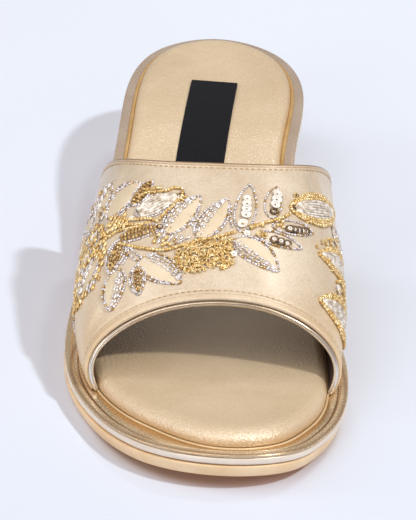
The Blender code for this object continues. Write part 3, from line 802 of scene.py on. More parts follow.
def square_to(direction, out):
    """The part of a direction that is square to another, as a unit vector."""
    return unit(direction - (direction * out).sum(axis=-1)[..., None] * out)


def on_band(x, y):
    """Point, outward normal, and directions across and back, at a place on the chart.

    u = (x + crown(v)) / length(v), with v = y / 60 and both read along the band.
    """
    v = np.asarray(y, float) / CHART_DEPTH
    u = ((np.asarray(x, float) + np.interp(v, BAND_ROWS, CROWN_AT))
         / np.interp(v, BAND_ROWS, BAND_LENGTH))
    point, out = read_grid(BAND_GRID, v, u), unit(-read_grid(BAND_INWARD, v, u))
    across = square_to(read_grid(BAND_GRID, v, u + 0.003) - read_grid(BAND_GRID, v, u - 0.003), out)
    return point, out, across, np.cross(out, across)


print("middle of the band's top:", on_band(0.0, 0.5 * CHART_DEPTH)[0].round(1))

# %% [markdown]
# ## The band's leather and lining
# The leather is folded over at the front and back edges and stitched, with the lining behind it, so the wall
# shows two layers. Solidify could thicken the surface, but the rims would be square. Here each layer is a
# shell: a profile runs along the outer face to the back edge, round it, along the inner face and round the
# front edge, and is carried over the foot. Stitching pulls a trough along each hem. Where the foot's sides
# press, soft creases cross the leather: each is a trough beside a ridge, listed one by one, that fades
# towards its ends.

# %% Creases and hems
FRONT_SEAM, BACK_SEAM = 2.7, 1.9        # stitch rows, mm from the folded edges

CREASES = [
    # x, y at one end, x, y at the other (chart mm), depth mm, width mm
    (30.0, 58.0, 36.0, 40.0, 0.35, 2.6),
    (40.0, 56.0, 46.0, 30.0, 0.30, 3.0),
    (-33.0, 57.0, -38.0, 44.0, 0.30, 2.8),
    (-30.0, 10.0, -48.0, 4.0, 0.22, 2.4),
    (34.0, 12.0, 30.0, 2.0, 0.25, 2.8),
    (12.0, 8.0, -10.0, 7.0, 0.10, 3.4),
    (-62.0, 52.0, -66.0, 20.0, 0.30, 3.2),
    (58.0, 50.0, 62.0, 20.0, 0.28, 3.2),
]


def crease_relief(x, y):
    """Sum over creases of depth e^-(a/w)^2 (ridge beside trough) faded by e^-(b/l)^4, a across, b along."""
    total = np.zeros_like(x)
    for x0, y0, x1, y1, depth, width in CREASES:
        along = np.array([x1 - x0, y1 - y0])
        half = 0.5 * np.hypot(*along)
        along = along / (2.0 * half)
        dx, dy = x - 0.5 * (x0 + x1), y - 0.5 * (y0 + y1)
        b, a = dx * along[0] + dy * along[1], dx * along[1] - dy * along[0]
        profile = 0.8 * bell(a - 1.1 * width, width) - bell(a, width)
        total += depth * profile * np.exp(-(b / half) ** 4)
    return total


def hem_relief(front, back):
    """Stitch troughs 0.2 mm deep, and the doubled leather 0.16 mm proud between each and its edge."""
    troughs = bell(front - FRONT_SEAM, 0.45) + bell(back - BACK_SEAM, 0.45)
    hems = step_down(front - FRONT_SEAM, 0.25) + step_down(back - BACK_SEAM, 0.25)
    return 0.16 * hems - 0.2 * troughs


print("deepest crease:", max(crease[4] for crease in CREASES), "mm, of", len(CREASES))

# %% Layers of the band
SHELL_ROWS, SHELL_COLUMNS, RIM_STEPS = 110, 260, 7
SEAT = 0.08                 # mm that the band and its piping stay above the platform


def wall_profile(near, far):
    """Profile round a layer, from depth near to depth far: outer face, back rim, inner face, front rim.

    Four columns: share of the way back, reach past the edge, depth, and 1 outside to 0 inside. The rows
    of the faces lie closer together towards the rims, and the rims are half circles.
    """
    middle, half = 0.5 * (near + far), 0.5 * (far - near)
    face = np.linspace(0.0, 1.0, SHELL_ROWS)
    face = face - np.sin(4.0 * math.pi * face) / (4.0 * math.pi) * 0.35
    turn = math.pi * (np.arange(RIM_STEPS) + 1.0) / (RIM_STEPS + 1.0)
    none, rim = 0.0 * face, 0.0 * turn
    return np.vstack([np.stack(column, axis=1) for column in (
        (face, none, none + near, none + 1.0),
        (rim + 1.0, half * np.sin(turn), middle - half * np.cos(turn), 0.5 + 0.5 * np.cos(turn)),
        (face[::-1], none, none + far, none),
        (rim, -half * np.sin(turn), middle + half * np.cos(turn), 0.5 - 0.5 * np.cos(turn)))])


def band_shell(name, near, far, front_recess, back_recess, is_outer):
    """A layer of the band from depth near to depth far. The recesses are mm short of the two edges."""
    share, reach, depth, outside = wall_profile(near, far).T
    u = np.linspace(0.0, 1.0, SHELL_COLUMNS)
    whole = read_grid(LENGTHWISE, np.ones_like(u), u)
    start, end = front_recess / whole, 1.0 - back_recess / whole
    v = start + (end - start) * share[:, None]
    uu = np.broadcast_to(u, v.shape)
    point, inward = read_grid(BAND_GRID, v, uu), read_grid(BAND_INWARD, v, uu)
    further = np.minimum(v + 0.01, 1.0)
    ahead = unit(read_grid(BAND_GRID, further, uu) - read_grid(BAND_GRID, further - 0.02, uu))
    front = read_grid(LENGTHWISE, v, uu)
    x = uu * np.interp(v, BAND_ROWS, BAND_LENGTH) - np.interp(v, BAND_ROWS, CROWN_AT)
    waves = 0.06 * np.sin(x / 6.5 + v * 9.0) * np.sin(v * 14.0 - x / 17.0)
    relief = crease_relief(x, CHART_DEPTH * v) + waves
    if is_outer:
        relief = relief + hem_relief(front, whole - front)
    relief *= outside[:, None] * np.clip(np.minimum(uu, 1.0 - uu) / 0.03, 0.0, 1.0)
    shell = point + reach[:, None, None] * ahead + (depth[:, None] - relief)[..., None] * inward
    shell[..., 2] = np.maximum(shell[..., 2], ledge(shell[..., 1]) + SEAT)
    count = len(share)
    partner = (2 * SHELL_ROWS + RIM_STEPS - 1 - np.arange(count)) % count
    first, last = 0.5 * (shell[:, :1] + shell[partner, :1]), 0.5 * (shell[:, -1:] + shell[partner, -1:])
    front, back = [np.pad(distance, ((0, 0), (1, 1)), "edge") for distance in (front, whole - front)]
    return shell_of(name, np.concatenate([first, shell, last], axis=1), wrap_rows=True,
                    from_front=front, from_back=back)


finish_piece(band_shell("band_leather", near=0.0, far=1.15, front_recess=0.0, back_recess=0.0, is_outer=True),
             band_leather, ["upper_band"])
finish_piece(band_shell("band_lining", near=1.25, far=2.0, front_recess=0.5, back_recess=0.7, is_outer=False),
             band_lining, ["upper_band"])

# %% [markdown]
# ## Piping along the toe opening
# A strip of foil leather is folded round a cord and sewn in front of the band's folded edge. It is a
# tube along a path: at each point of the path two directions span the round section. A bevelled curve
# makes a tube too, but this one is pressed flat against the platform where it ends.

# %% Tubes and piping
PIPING_RADIUS = 0.76
PIPING_DEPTH = 1.5          # its middle, below the leather's face
PIPING_AHEAD = 0.45         # between the band's edge and the piping's back
PIPING_SIDES = 16


def tube(path, side, radius, sides):
    """Grid of a round tube: path + r (cos a side + sin a third), third = along x side. r may vary."""
    along = unit(np.gradient(path, axis=0))
    side = square_to(side, along)
    third = np.cross(along, side)
    angle = circle(sides)
    radius = np.broadcast_to(radius, len(path))[:, None, None]
    return path[:, None] + radius * (np.cos(angle)[None, :, None] * side[:, None]
                                     + np.sin(angle)[None, :, None] * third[:, None])


def piping_path():
    """Line in front of the band's front edge, PIPING_DEPTH deep, with the outward direction along it."""
    u = np.linspace(0.0, 1.0, 220)
    edge, behind = [read_grid(BAND_GRID, v, u) + PIPING_DEPTH * read_grid(BAND_INWARD, v, u)
                    for v in (0.0 * u, 0.0 * u + 0.02)]
    return edge + unit(edge - behind) * (PIPING_RADIUS + PIPING_AHEAD), -read_grid(BAND_INWARD, 0.0 * u, u)


roll = tube(*piping_path(), PIPING_RADIUS, PIPING_SIDES)
roll[..., 2] = np.maximum(roll[..., 2], ledge(roll[..., 1]) + SEAT)
ends = [np.broadcast_to(end.mean(axis=0), (1, PIPING_SIDES, 3)) for end in (roll[0], roll[-1])]
mesh = shell_of("toe_piping_roll", np.concatenate([ends[0], roll, ends[1]]), wrap_columns=True)
finish_piece(mesh, piping_leather, ["toe_piping"])

# %% [markdown]
# ## The woven label
# A black satin ribbon, woven with floats 0.9 mm long in rows 0.3 mm apart, is stuck to the insole and
# left bare. It is a thin plate that follows the cushion, with soft edges and selvedges that stand up by a
# thread's width. A flat plane laid on top would float over the dish of the heel, so the plate reads the
# cushion's height. The weave is drawn a little coarser than it is, so that it shows.

# %% Label satin
LABEL = {"length": 60.0, "width": 16.5, "thickness": 0.42, "x": -2.2, "y": 52.5, "turn": math.radians(5.2)}
# Satin floats lie side by side, so the black has a faint sheen and a fine brickwork of threads.
label_look, tree, shader = new_look("black_woven_satin", Roughness=0.6, Sheen_Weight=0.03,
                                    Sheen_Roughness=0.4, Specular_IOR_Level=0.15)
place = add_node(tree, "Mapping", {"Rotation": (0.0, 0.0, LABEL["turn"])},
                 {"Vector": add_node(tree, "TexCoord").outputs["Object"]}).outputs["Vector"]
threads = add_node(tree, "TexBrick", {
    "Scale": per_metre(1.0), "Brick Width": 0.9, "Row Height": 0.3, "Mortar Size": 0.05, "Bias": 0.0,
    "Mortar Smooth": 0.8, "Color1": linear("#12131A"), "Color2": linear("#1A1C24"),
    "Mortar": linear("#08090C")}, {"Vector": place})
tree.links.new(threads.outputs["Color"], shader.inputs["Base Color"])
bump = add_node(tree, "Bump", {"Strength": 1.0, "Distance": 0.04 * MM, "invert": True},
                {"Height": threads.outputs["Fac"]})
tree.links.new(bump.outputs["Normal"], shader.inputs["Normal"])
print("label:", LABEL["length"], "by", LABEL["width"], "mm, in", label_look.name)

# %% Label
LABEL_ROWS, LABEL_SIDES = 90, 72
LABEL_LIFT = 0.12           # of its underside above the cushion


def label_plate():
    """Closed plate: a section with raised selvedges, carried along the label's length over the cushion.

    The section goes round in equal angles, flattened to a plate. The ends close on the section's middle.
    """
    half, thickness = 0.5 * LABEL["width"], LABEL["thickness"]
    angle = 2.0 * math.pi * (np.arange(LABEL_SIDES) + 0.5) / LABEL_SIDES
    across = half * np.interp(angle, [0, 0.1, math.pi - 0.1, math.pi + 0.1, 2 * math.pi - 0.1, 2 * math.pi],
                              [1, 1, -1, -1, 1, 1])
    up = np.sign(np.sin(angle)) * np.minimum(1.0, np.abs(np.sin(angle)) / 0.25)
    selvedge = 0.09 * bell(np.abs(across) - half + 0.45, 0.3) * (up > 0)
    swell = np.concatenate([[0.0, 0.6], np.ones(LABEL_ROWS), [0.6, 0.0]])[:, None]
    share = np.clip(np.arange(-2, LABEL_ROWS + 2) / (LABEL_ROWS - 1), 0.0, 1.0)[:, None]
    along = (share - 0.5) * LABEL["length"]
    side = across * (swell > 0.5)
    x = LABEL["x"] + side * math.cos(LABEL["turn"]) + along * math.sin(LABEL["turn"])
    y = LABEL["y"] - side * math.sin(LABEL["turn"]) + along * math.cos(LABEL["turn"])
    middle = ledge(y) + GAP + pad_thickness(y) + LABEL_LIFT + 0.5 * thickness
    return np.stack([x, y, middle + (0.5 * thickness * up + selvedge) * swell], axis=2)


mesh = shell_of("insole_ribbon_label", label_plate(), wrap_columns=True)
finish_piece(mesh, label_look, ["insole_label"], sharp_angle=50)

# %% [markdown]
# ## Stamping small parts
# Stitches, beads and sequins repeat one small shape hundreds of times. Instances could do that, but one
# mesh of closed shells is what an export keeps. The small shape is made once, as a grid of a few dozen
# faces, and stamped at every place at once: point = centre + R (size * shape), with the three columns
# of R as the part's own axes there.

# %% Stamping
RANDOM = np.random.default_rng(7)


def stamp(shape, centres, axes, sizes):
    """Copies of a shape (rows, columns, 3): centre + sum over k of axis_k size_k shape_k."""
    flat = shape.reshape(-1, 3)
    scaled = flat[None, :, :] * np.broadcast_to(sizes, (len(centres), 3))[:, None, :]
    return centres[:, None, :] + np.einsum("nki,njk->nji", axes, scaled)


def stamped_mesh(name, parts):
    """One mesh from (shape, wraps, centres, axes, sizes) rows, each copy a closed shell of its own."""
    points, quads, first = [], [], 0
    for shape, wraps, centres, axes, sizes in parts:
        cell = grid_quads(shape.shape[0], shape.shape[1], *wraps)
        count = shape.shape[0] * shape.shape[1]
        points.append(stamp(shape, centres, axes, sizes).reshape(-1, 3))
        quads.append((cell[None] + first + count * np.arange(len(centres))[:, None, None]).reshape(-1, 4))
        first += count * len(centres)
    mesh = mesh_of(name, np.vstack(points), np.vstack(quads))
    weld(mesh)
    return mesh

# %% Small shapes and their axes
def turned_form(r, z, around):
    """A profile (r, z) turned round the z axis: x = r cos a, y = r sin a."""
    angle = circle(around)
    return np.stack([np.outer(r, np.cos(angle)), np.outer(r, np.sin(angle)),
                     np.outer(z, np.ones(around))], axis=2)


def round_bar(sides, bulge):
    """Bar along z from -1 to 1 with radius 1, shut at both ends. bulge rounds it."""
    r = [0.0, 1.0 - bulge, 1.0 - 0.35 * bulge, 1.0, 1.0 - 0.35 * bulge, 1.0 - bulge, 0.0]
    return turned_form(r, [-1.0, -1.0, -0.8, 0.0, 0.8, 1.0, 1.0], sides)


def dished_disc(around):
    """Sequin: a thin turned disc of radius 1, dished by 0.25, with a hole of 0.2."""
    return turned_form([0.2, 0.55, 0.85, 1.0, 1.0, 0.85, 0.55, 0.2],
                       [0.0, 0.05, 0.15, 0.25, 0.31, 0.24, 0.13, 0.08], around)


def small_ring(around, through, hole):
    """Torus of outer radius 1 in the x, y plane: ((R + r cos b) cos a, (R + r cos b) sin a, r sin b)."""
    thick = 0.5 * (1.0 - hole)
    a, b = circle(around)[:, None], circle(through)[None, :]
    radius = 1.0 - thick + thick * np.cos(b)
    return np.stack([radius * np.cos(a), radius * np.sin(a), thick * np.sin(b) + 0.0 * a], axis=2)


def frame_of(z_axis, near_x):
    """Three unit axes, rows x, y, z: z as given, x as near as it can be to another direction."""
    z_axis = unit(z_axis)
    x_axis = square_to(near_x, z_axis)
    return np.stack([x_axis, np.cross(z_axis, x_axis), z_axis], axis=1)


print("points in a bar:", round_bar(8, 0.3)[..., 0].size, "and in a sequin:", dished_disc(16)[..., 0].size)

# %% [markdown]
# ## Stitching
# Waxed polyester thread, 0.3 mm thick and a shade darker than the leather, lies in the two troughs, five
# or six stitches to the centimetre. A dashed line in the leather's colour could stand for it, but thread
# stands up and catches the light, so each stitch is a short bar with rounded ends.

# %% Stitches
STITCH, STITCH_GAP = 1.1, 0.75          # length and spacing, mm
STITCH_SIZE = (0.14, 0.2, 0.55)         # half height, half width and half length, mm


def stitch_row(from_front):
    """Middle, direction and outward normal of each stitch of the front or the back row."""
    u = np.linspace(0.02, 0.98, 900)
    whole = read_grid(LENGTHWISE, np.ones_like(u), u)
    v = FRONT_SEAM / whole if from_front else 1.0 - BACK_SEAM / whole
    point, out = read_grid(BAND_GRID, v, u), -read_grid(BAND_INWARD, v, u)
    at = run_length(point)
    where = np.arange(0.5 * STITCH, at[-1], STITCH + STITCH_GAP)
    middle = read_path(where, at, point)
    return middle, read_path(where + 0.1, at, point) - middle, read_path(where, at, out)


# Wax closes the twist, so a stitch is smooth, half glossy and a little darker than the leather.
thread_look, tree, shader = new_look("waxed_polyester_thread", Roughness=0.55,
                                     Base_Color=linear("#BB9969"))
parts = []
for from_front in (True, False):
    middle, direction, out = stitch_row(from_front)
    parts.append((round_bar(8, 0.55), (False, True), middle + 0.02 * out, frame_of(direction, out),
                  np.array(STITCH_SIZE)))
finish_piece(stamped_mesh("band_stitches", parts), thread_look)

# %% [markdown]
# ## Beadwork and gilt thread
# Zardozi is couched work: coiled wire, beads, cut tubes and sequins are laid on the leather and held down
# with fine stitches. Some leaves are filled with cut tubes, others with strands of satin thread. A frame
# embroiderer pricks the pattern from a drawing, so the pattern here is a drawing too: tables of leaves,
# stems and clusters in chart millimetres. x runs across from the crown line, positive to the inner side
# of the foot, and y from the front edge (0) to the back edge (60). A leaf is two arcs from its base to
# its tip: t^a (1-t)^b on both sides of a bowed axis.

# %% Drawing on the chart
LINE_STEPS = 240


def smooth_line(points):
    """Cardinal spline through chart points: cubic between them, with slopes half the chord around each."""
    knots = np.array(points, float)
    slope = np.gradient(knots, axis=0)
    where = np.linspace(0.0, len(knots) - 1.0, LINE_STEPS)
    i = np.minimum(where.astype(int), len(knots) - 2)
    return hermite(knots[i], knots[i + 1], slope[i], slope[i + 1], (where - i)[:, None])


LEAF_BASE, LEAF_TIP = 0.62, 0.85     # exponents a and b of a leaf's outline


def leaf_edge(leaf, side, spread=1.0, start=0.0, end=1.0, count=LINE_STEPS):
    """One side of a leaf: axis(t) + side spread width/2 (t/m)^a ((1-t)/(1-m))^b, with m = a/(a+b)."""
    base, tip = np.array(leaf["base"], float), np.array(leaf["tip"], float)
    t = np.linspace(start, end, count)
    widest = LEAF_BASE / (LEAF_BASE + LEAF_TIP)
    half = (0.5 * leaf["width"] * spread * (t / widest) ** LEAF_BASE
            * ((1.0 - t) / (1.0 - widest)) ** LEAF_TIP)
    across = unit(np.array([-(tip - base)[1], (tip - base)[0]]))
    bow = leaf.get("bow", 0.0) * 4.0 * t * (1.0 - t)
    return base + (tip - base) * t[:, None] + across * (side * half + bow)[:, None]


def string_on_band(line, pitch):
    """Even places on the band along a chart line, and the 3-D direction of the line at each."""
    point = on_band(line[:, 0], line[:, 1])[0]
    at = run_length(point)
    count = max(int(round(at[-1] / pitch)), 1)
    where = (np.arange(count) + 0.5) * at[-1] / count
    ahead = read_path(where + 0.05, at, point) - read_path(where - 0.05, at, point)
    return read_path(where, at, line), ahead


print("beads along 30 mm of chart:", len(string_on_band(smooth_line([(0.0, 30.0), (30.0, 30.0)]), 1.08)[0]))

# %% Pattern: leaves
# base and tip (x, y), width and bow in mm, outline, filling, the side of a half filling, and sequins or
# beads as (x, y, radius)
LEAVES = [
    # Inner half of the top, from the stem's end outwards.
    dict(base=(6.0, 28.6), tip=(8.3, 50.4), width=6.6, edge="silver", fill="sequins",
         discs=[(6.3, 31.9, 1.7), (7.2, 36.0, 1.6), (7.4, 38.5, 1.6), (7.5, 40.9, 1.5), (7.5, 43.3, 1.3)]),
    dict(base=(15.2, 35.6), tip=(16.5, 49.8), width=5.6, edge="silver", fill="sequins",
         discs=[(16.3, 41.2, 1.55), (16.8, 43.5, 1.65), (17.0, 46.0, 1.6)]),
    dict(base=(21.6, 40.6), tip=(46.0, 46.0), width=11.6, bow=-0.4, edge="gold", fill="stripes"),
    dict(base=(15.5, 32.4), tip=(30.0, 32.9), width=5.6, edge="silver", fill="shingles",
         discs=[(26.7, 32.1, 1.55), (25.3, 31.9, 1.6), (23.9, 31.8, 1.6), (22.5, 31.7, 1.6),
                (21.1, 31.7, 1.55)]),
    dict(base=(11.0, 28.0), tip=(25.4, 25.2), width=5.6, edge="silver", fill="shingles",
         discs=[(20.2, 25.4, 1.5), (18.2, 25.9, 1.5), (16.1, 26.3, 1.5)]),
    dict(base=(4.2, 25.8), tip=(17.4, 13.6), width=9.6, bow=0.4, edge="silver", fill="half", side=-1),
    # Outer half of the top.
    dict(base=(-7.4, 25.4), tip=(1.3, 43.2), width=8.4, bow=-0.4, edge="silver", fill="half", side=1),
    dict(base=(-17.2, 27.6), tip=(-7.3, 44.2), width=8.6, bow=0.2, edge="silver", fill="half", side=1),
    dict(base=(-27.6, 36.4), tip=(-13.8, 44.4), width=8.0, edge="silver", fill="stripes"),
    dict(base=(-40.2, 38.6), tip=(-27.2, 50.2), width=8.4, edge="silver", fill="bare"),
    dict(base=(-29.4, 40.6), tip=(-22.8, 51.0), width=5.0, edge="silver", fill="bars"),
    dict(base=(-48.5, 37.6), tip=(-40.2, 51.6), width=7.0, edge="silver", fill="half", side=1),
    dict(base=(-33.0, 28.6), tip=(-18.6, 30.6), width=5.4, edge="silver", fill="bars"),
    # Below the stem, outer side.
    dict(base=(-25.4, 18.8), tip=(-12.6, 6.6), width=9.4, bow=0.6, edge="silver", fill="half", side=1),
    dict(base=(-26.4, 16.4), tip=(-25.8, 5.8), width=5.2, edge="silver", fill="rows"),
    dict(base=(-32.8, 17.4), tip=(-35.4, 5.2), width=8.2, bow=-0.5, edge="silver", fill="half", side=1),
    dict(base=(-32.6, 28.2), tip=(-35.8, 17.2), width=7.0, edge="silver", fill="rows"),
    # Outer side of the foot.
    dict(base=(-41.8, 25.6), tip=(-49.5, 17.6), width=6.6, edge="silver", fill="half", side=-1),
    dict(base=(-46.5, 37.5), tip=(-60.0, 43.0), width=8.0, edge="silver", fill="half", side=1),
    dict(base=(-52.0, 36.0), tip=(-65.0, 33.0), width=8.0, edge="gold", fill="stripes"),
    dict(base=(-56.0, 25.0), tip=(-66.0, 20.0), width=6.5, edge="silver", fill="rows"),
    # Inner side of the foot.
    dict(base=(56.0, 30.6), tip=(32.0, 26.0), width=9.5, edge="gold", fill="stripes"),
    dict(base=(55.0, 14.6), tip=(31.8, 9.8), width=10.0, edge="gold", fill="stripes"),
    dict(base=(52.0, 32.0), tip=(42.5, 40.5), width=6.0, edge="silver", fill="half", side=-1),
    dict(base=(60.0, 24.0), tip=(69.0, 33.0), width=6.5, edge="silver", fill="rows"),
]
print("leaves:", len(LEAVES))

# %% Pattern: stems and gilt thread
GOLD_STRINGS = [
    # Points (x, y) of each string. Main stem.
    [(-33.0, 27.0), (-30.0, 25.2), (-27.0, 23.8), (-23.5, 22.3), (-20.0, 21.0), (-16.8, 20.7), (-13.6, 21.6),
     (-10.5, 22.8)],
    [(-8.6, 24.2), (-4.6, 24.9), (-1.4, 25.9), (1.6, 27.2), (4.4, 28.6)],
    [(8.6, 30.0), (10.8, 31.6), (13.4, 33.2), (16.4, 34.7), (19.2, 36.4), (21.6, 38.4)],
    [(10.6, 28.2), (12.4, 27.9), (13.9, 27.6)],
    [(16.8, 32.2), (18.2, 32.9), (19.6, 31.6)],
    [(16.9, 34.6), (19.4, 34.2)],
    [(11.4, 32.4), (13.0, 31.6)],
    [(-18.8, 22.3), (-17.2, 23.4), (-15.6, 22.4)],
    # Border of the satin leaf, above and down its side.
    [(-27.5, 43.6), (-24.5, 45.2), (-21.0, 45.5), (-18.2, 46.0), (-15.4, 47.4), (-12.4, 47.0)],
    [(-25.5, 46.8), (-22.5, 47.0), (-19.4, 47.4)],
    [(-12.4, 45.6), (-13.2, 43.0), (-14.8, 40.4), (-16.6, 38.0), (-18.4, 35.8), (-19.8, 33.4)],
    [(-11.6, 43.8), (-12.8, 41.2)],
    # Gilt sheaf behind it.
    [(-39.0, 34.6), (-35.5, 35.6), (-31.5, 35.3), (-27.5, 34.6), (-23.5, 34.4), (-20.0, 32.9)],
    [(-38.6, 32.6), (-34.5, 33.6), (-30.5, 33.2), (-26.5, 32.4), (-22.5, 32.6)],
    [(-37.5, 30.8), (-34.0, 31.6), (-29.5, 31.6), (-25.5, 31.4)],
    # Inner side trail.
    [(37.0, 33.6), (40.0, 34.6), (43.5, 36.2), (46.5, 37.4)],
    [(42.0, 18.6), (44.5, 20.6), (48.0, 21.4), (52.0, 21.8)],
    [(40.5, 20.8), (43.5, 22.6), (47.5, 23.2), (51.5, 23.6), (55.5, 24.6)],
    [(41.5, 16.6), (45.0, 18.8), (49.0, 19.6), (53.0, 20.0), (57.0, 21.0)],
    [(57.0, 13.0), (59.0, 17.5), (61.0, 22.0), (64.0, 25.0)],
]
print("stems and gilt threads:", len(GOLD_STRINGS))

# %% Pattern: bead masses, coils, rings and sequins
MASSES = [
    # polygon, share of gold beads and of brown beads; the others are silver tubes
    ([(-38.4, 24.0), (-38.0, 32.0), (-41.0, 37.5), (-50.0, 38.0), (-58.0, 35.0), (-62.5, 28.0),
      (-58.0, 20.0), (-52.0, 16.0), (-44.0, 15.4), (-39.6, 18.0)], 0.62, 0.2),
    ([(-38.0, 39.5), (-41.5, 46.0), (-42.0, 51.0), (-50.0, 50.0), (-54.0, 44.0), (-50.0, 38.5)],
     0.15, 0.3),
    ([(-38.6, 33.2), (-30.0, 31.8), (-30.0, 37.0), (-38.0, 37.6)], 0.75, 0.15),
    ([(-22.0, 24.4), (-19.0, 30.0), (-17.0, 26.4), (-12.0, 26.0), (-15.0, 23.4)], 0.3, 0.3),
]
SILVER_STRINGS = [
    # points (x, y) of each tendril of coiled wire
    [(-31.0, 28.0), (-29.6, 25.0), (-29.8, 21.4), (-31.2, 18.6)],
    [(-29.0, 24.2), (-27.0, 21.4), (-24.6, 19.4)],
    [(-30.4, 24.4), (-28.4, 20.6), (-26.0, 18.0)],
    [(-14.8, 22.8), (-12.4, 24.2), (-9.8, 25.8)],
    [(-10.2, 32.0), (-8.8, 30.0), (-8.2, 27.4)],
    [(-22.5, 27.2), (-19.6, 28.6), (-18.0, 30.6)],
    [(-10.8, 35.2), (-9.4, 34.2), (-8.4, 32.6)],
    [(1.6, 42.0), (2.6, 38.0), (2.4, 34.0), (3.0, 30.4)],
    [(-42.0, 50.6), (-39.6, 47.6), (-38.6, 45.2)],
    [(22.6, 35.0), (25.2, 35.4), (28.0, 34.8)],
    [(-62.0, 30.0), (-64.5, 26.0), (-64.0, 22.0)],
]
RING_CLUSTER = [
    # x, y, radius
    (-13.4, 19.0, 1.5), (-13.8, 16.2, 1.6), (-12.9, 13.8, 1.4), (-11.2, 17.8, 1.7), (-10.6, 15.2, 1.6),
    (-10.7, 11.6, 1.6), (-8.9, 13.6, 1.5), (-8.7, 10.9, 1.4), (-6.6, 11.2, 1.6), (-7.2, 13.9, 1.6),
    (-8.2, 16.6, 1.6), (-5.2, 15.0, 1.6), (-5.6, 17.8, 1.5), (-3.2, 13.3, 1.7), (-3.0, 16.2, 1.7),
    (-8.6, 19.4, 1.6), (-11.0, 20.6, 1.4), (-6.0, 20.4, 1.6), (-3.3, 19.0, 1.6), (-0.7, 14.9, 1.6),
    (1.3, 13.6, 1.7), (-0.6, 17.6, 1.6), (1.4, 16.6, 1.5), (3.0, 15.0, 1.4), (-4.3, 22.0, 1.6),
    (-7.4, 22.6, 1.5), (-1.4, 21.4, 1.6), (1.0, 19.6, 1.5), (-2.6, 24.2, 1.4), (0.4, 23.4, 1.6),
    (-5.4, 24.0, 1.4), (2.4, 24.8, 1.4), (2.2, 21.6, 1.3), (0.4, 25.8, 1.2),
    # Sprays at the joints of the stem.
    (8.9, 31.0, 1.4), (10.3, 32.4, 1.2), (12.2, 28.4, 1.3), (-35.0, 24.0, 1.5), (-34.0, 21.6, 1.5),
    (-35.4, 19.8, 1.4), (23.6, 46.4, 1.3), (22.7, 41.9, 1.3), (31.4, 28.4, 1.3), (33.6, 30.6, 1.3),
    (27.6, 36.3, 1.3), (11.2, 26.9, 1.5), (12.9, 27.3, 1.5), (6.2, 31.9, 0.6),
    (36.0, 31.8, 1.4), (38.8, 32.8, 1.4), (36.2, 25.0, 1.4), (38.0, 23.6, 1.4),
]
# the round that small beads fill between the rings
CLUSTER_EDGE = [(-14.4, 19.6), (-14.6, 13.2), (-12.0, 10.2), (-6.4, 9.8), (-4.4, 12.2), (0.0, 11.8),
                (3.4, 14.0), (3.6, 18.0), (3.2, 26.2), (-1.0, 26.6), (-4.6, 24.8), (-10.4, 23.2)]
LONE_DISCS = [
    # x, y, radius of white sequins away from the leaves
    (3.7, 18.6, 1.0), (7.6, 27.9, 1.0), (41.0, 18.8, 1.5), (-45.0, 33.8, 1.5), (-47.2, 28.0, 1.6),
    (-54.0, 30.0, 1.6), (-29.0, 35.2, 0.9), (62.0, 18.0, 1.6), (48.5, 13.0, 1.2),
]
# x, y, radius of bronze rings away from the leaves
BRONZE_RINGS = [(16.0, 38.5, 1.5), (-12.9, 44.6, 1.0), (-17.0, 38.9, 1.0), (-19.4, 30.4, 1.1),
                (24.0, 46.0, 0.8), (23.1, 41.4, 0.8)]
DASHES = [
    # start and end (x, y) of silver tubes, then of brown ones, on the outer side's upper leaves
    [(-46.6, 43.2, -44.8, 45.8), (-44.4, 46.6, -42.8, 49.0), (-48.4, 40.8, -47.0, 42.8),
     (-41.6, 42.8, -40.0, 45.2), (-39.8, 45.6, -38.0, 47.6), (-45.2, 48.4, -44.0, 50.4),
     (-49.8, 44.0, -48.4, 46.2), (-43.0, 38.8, -41.4, 40.6)],
    [(-45.0, 41.8, -43.2, 40.8), (-44.6, 40.6, -42.8, 39.6), (-43.8, 43.0, -42.2, 42.4),
     (-43.2, 47.0, -41.8, 46.6), (-47.4, 44.8, -46.2, 44.2), (-40.2, 44.4, -39.0, 43.6),
     (-41.4, 49.4, -40.6, 48.4)],
]
print("rings and sequins drawn one by one:", len(RING_CLUSTER) + len(LONE_DISCS) + len(BRONZE_RINGS))

# %% [markdown]
# The finishes: silvered and gilt brass wire, lined glass beads, satin thread, and punched plastic sequins
# with a metal film. The glass beads are nearly metal to the eye, with a clear coat over amber gold. Their
# colour drifts from bead to bead, drawn as a noise about one bead wide. On the silver and gold parts the pale
# end of that drift is a painted highlight, and on the silver the warm dark end is painted shade.

# %% Bead finishes
def bead_finish(name, stops, metallic, roughness, drift, coat=0.0):
    """Small shiny parts whose colour drifts over a few mm. Metals keep the default IOR."""
    look, tree, shader = new_look(name, Metallic=metallic, Roughness=roughness, Coat_Weight=coat,
                                  Coat_Roughness=0.08)
    place = add_node(tree, "TexCoord").outputs["Object"]
    noise = add_node(tree, "TexNoise", {"Scale": per_metre(drift), "Detail": 2.0}, {"Vector": place})
    tree.links.new(blend_colours(tree, noise.outputs["Fac"], stops), shader.inputs["Base Color"])
    scratch = add_node(tree, "TexNoise", {"Scale": per_metre(0.25), "Detail": 1.0}, {"Vector": place})
    bump = add_node(tree, "Bump", {"Strength": 0.6, "Distance": 0.03 * MM},
                    {"Height": scratch.outputs["Fac"]})
    tree.links.new(bump.outputs["Normal"], shader.inputs["Normal"])
    return look


# Silver plating on coiled wire. Its colour drifts from warm brown to near white: the white is a painted
# glint, and the brown the painted shade of the gaps between the turns.
silver_wire = bead_finish(
    "silvered_coil_wire", [(0.30, "#94816E"), (0.44, "#CFC6C9"), (0.60, "#F6F4FA")],
    metallic=0.35, roughness=0.25, drift=1.0)
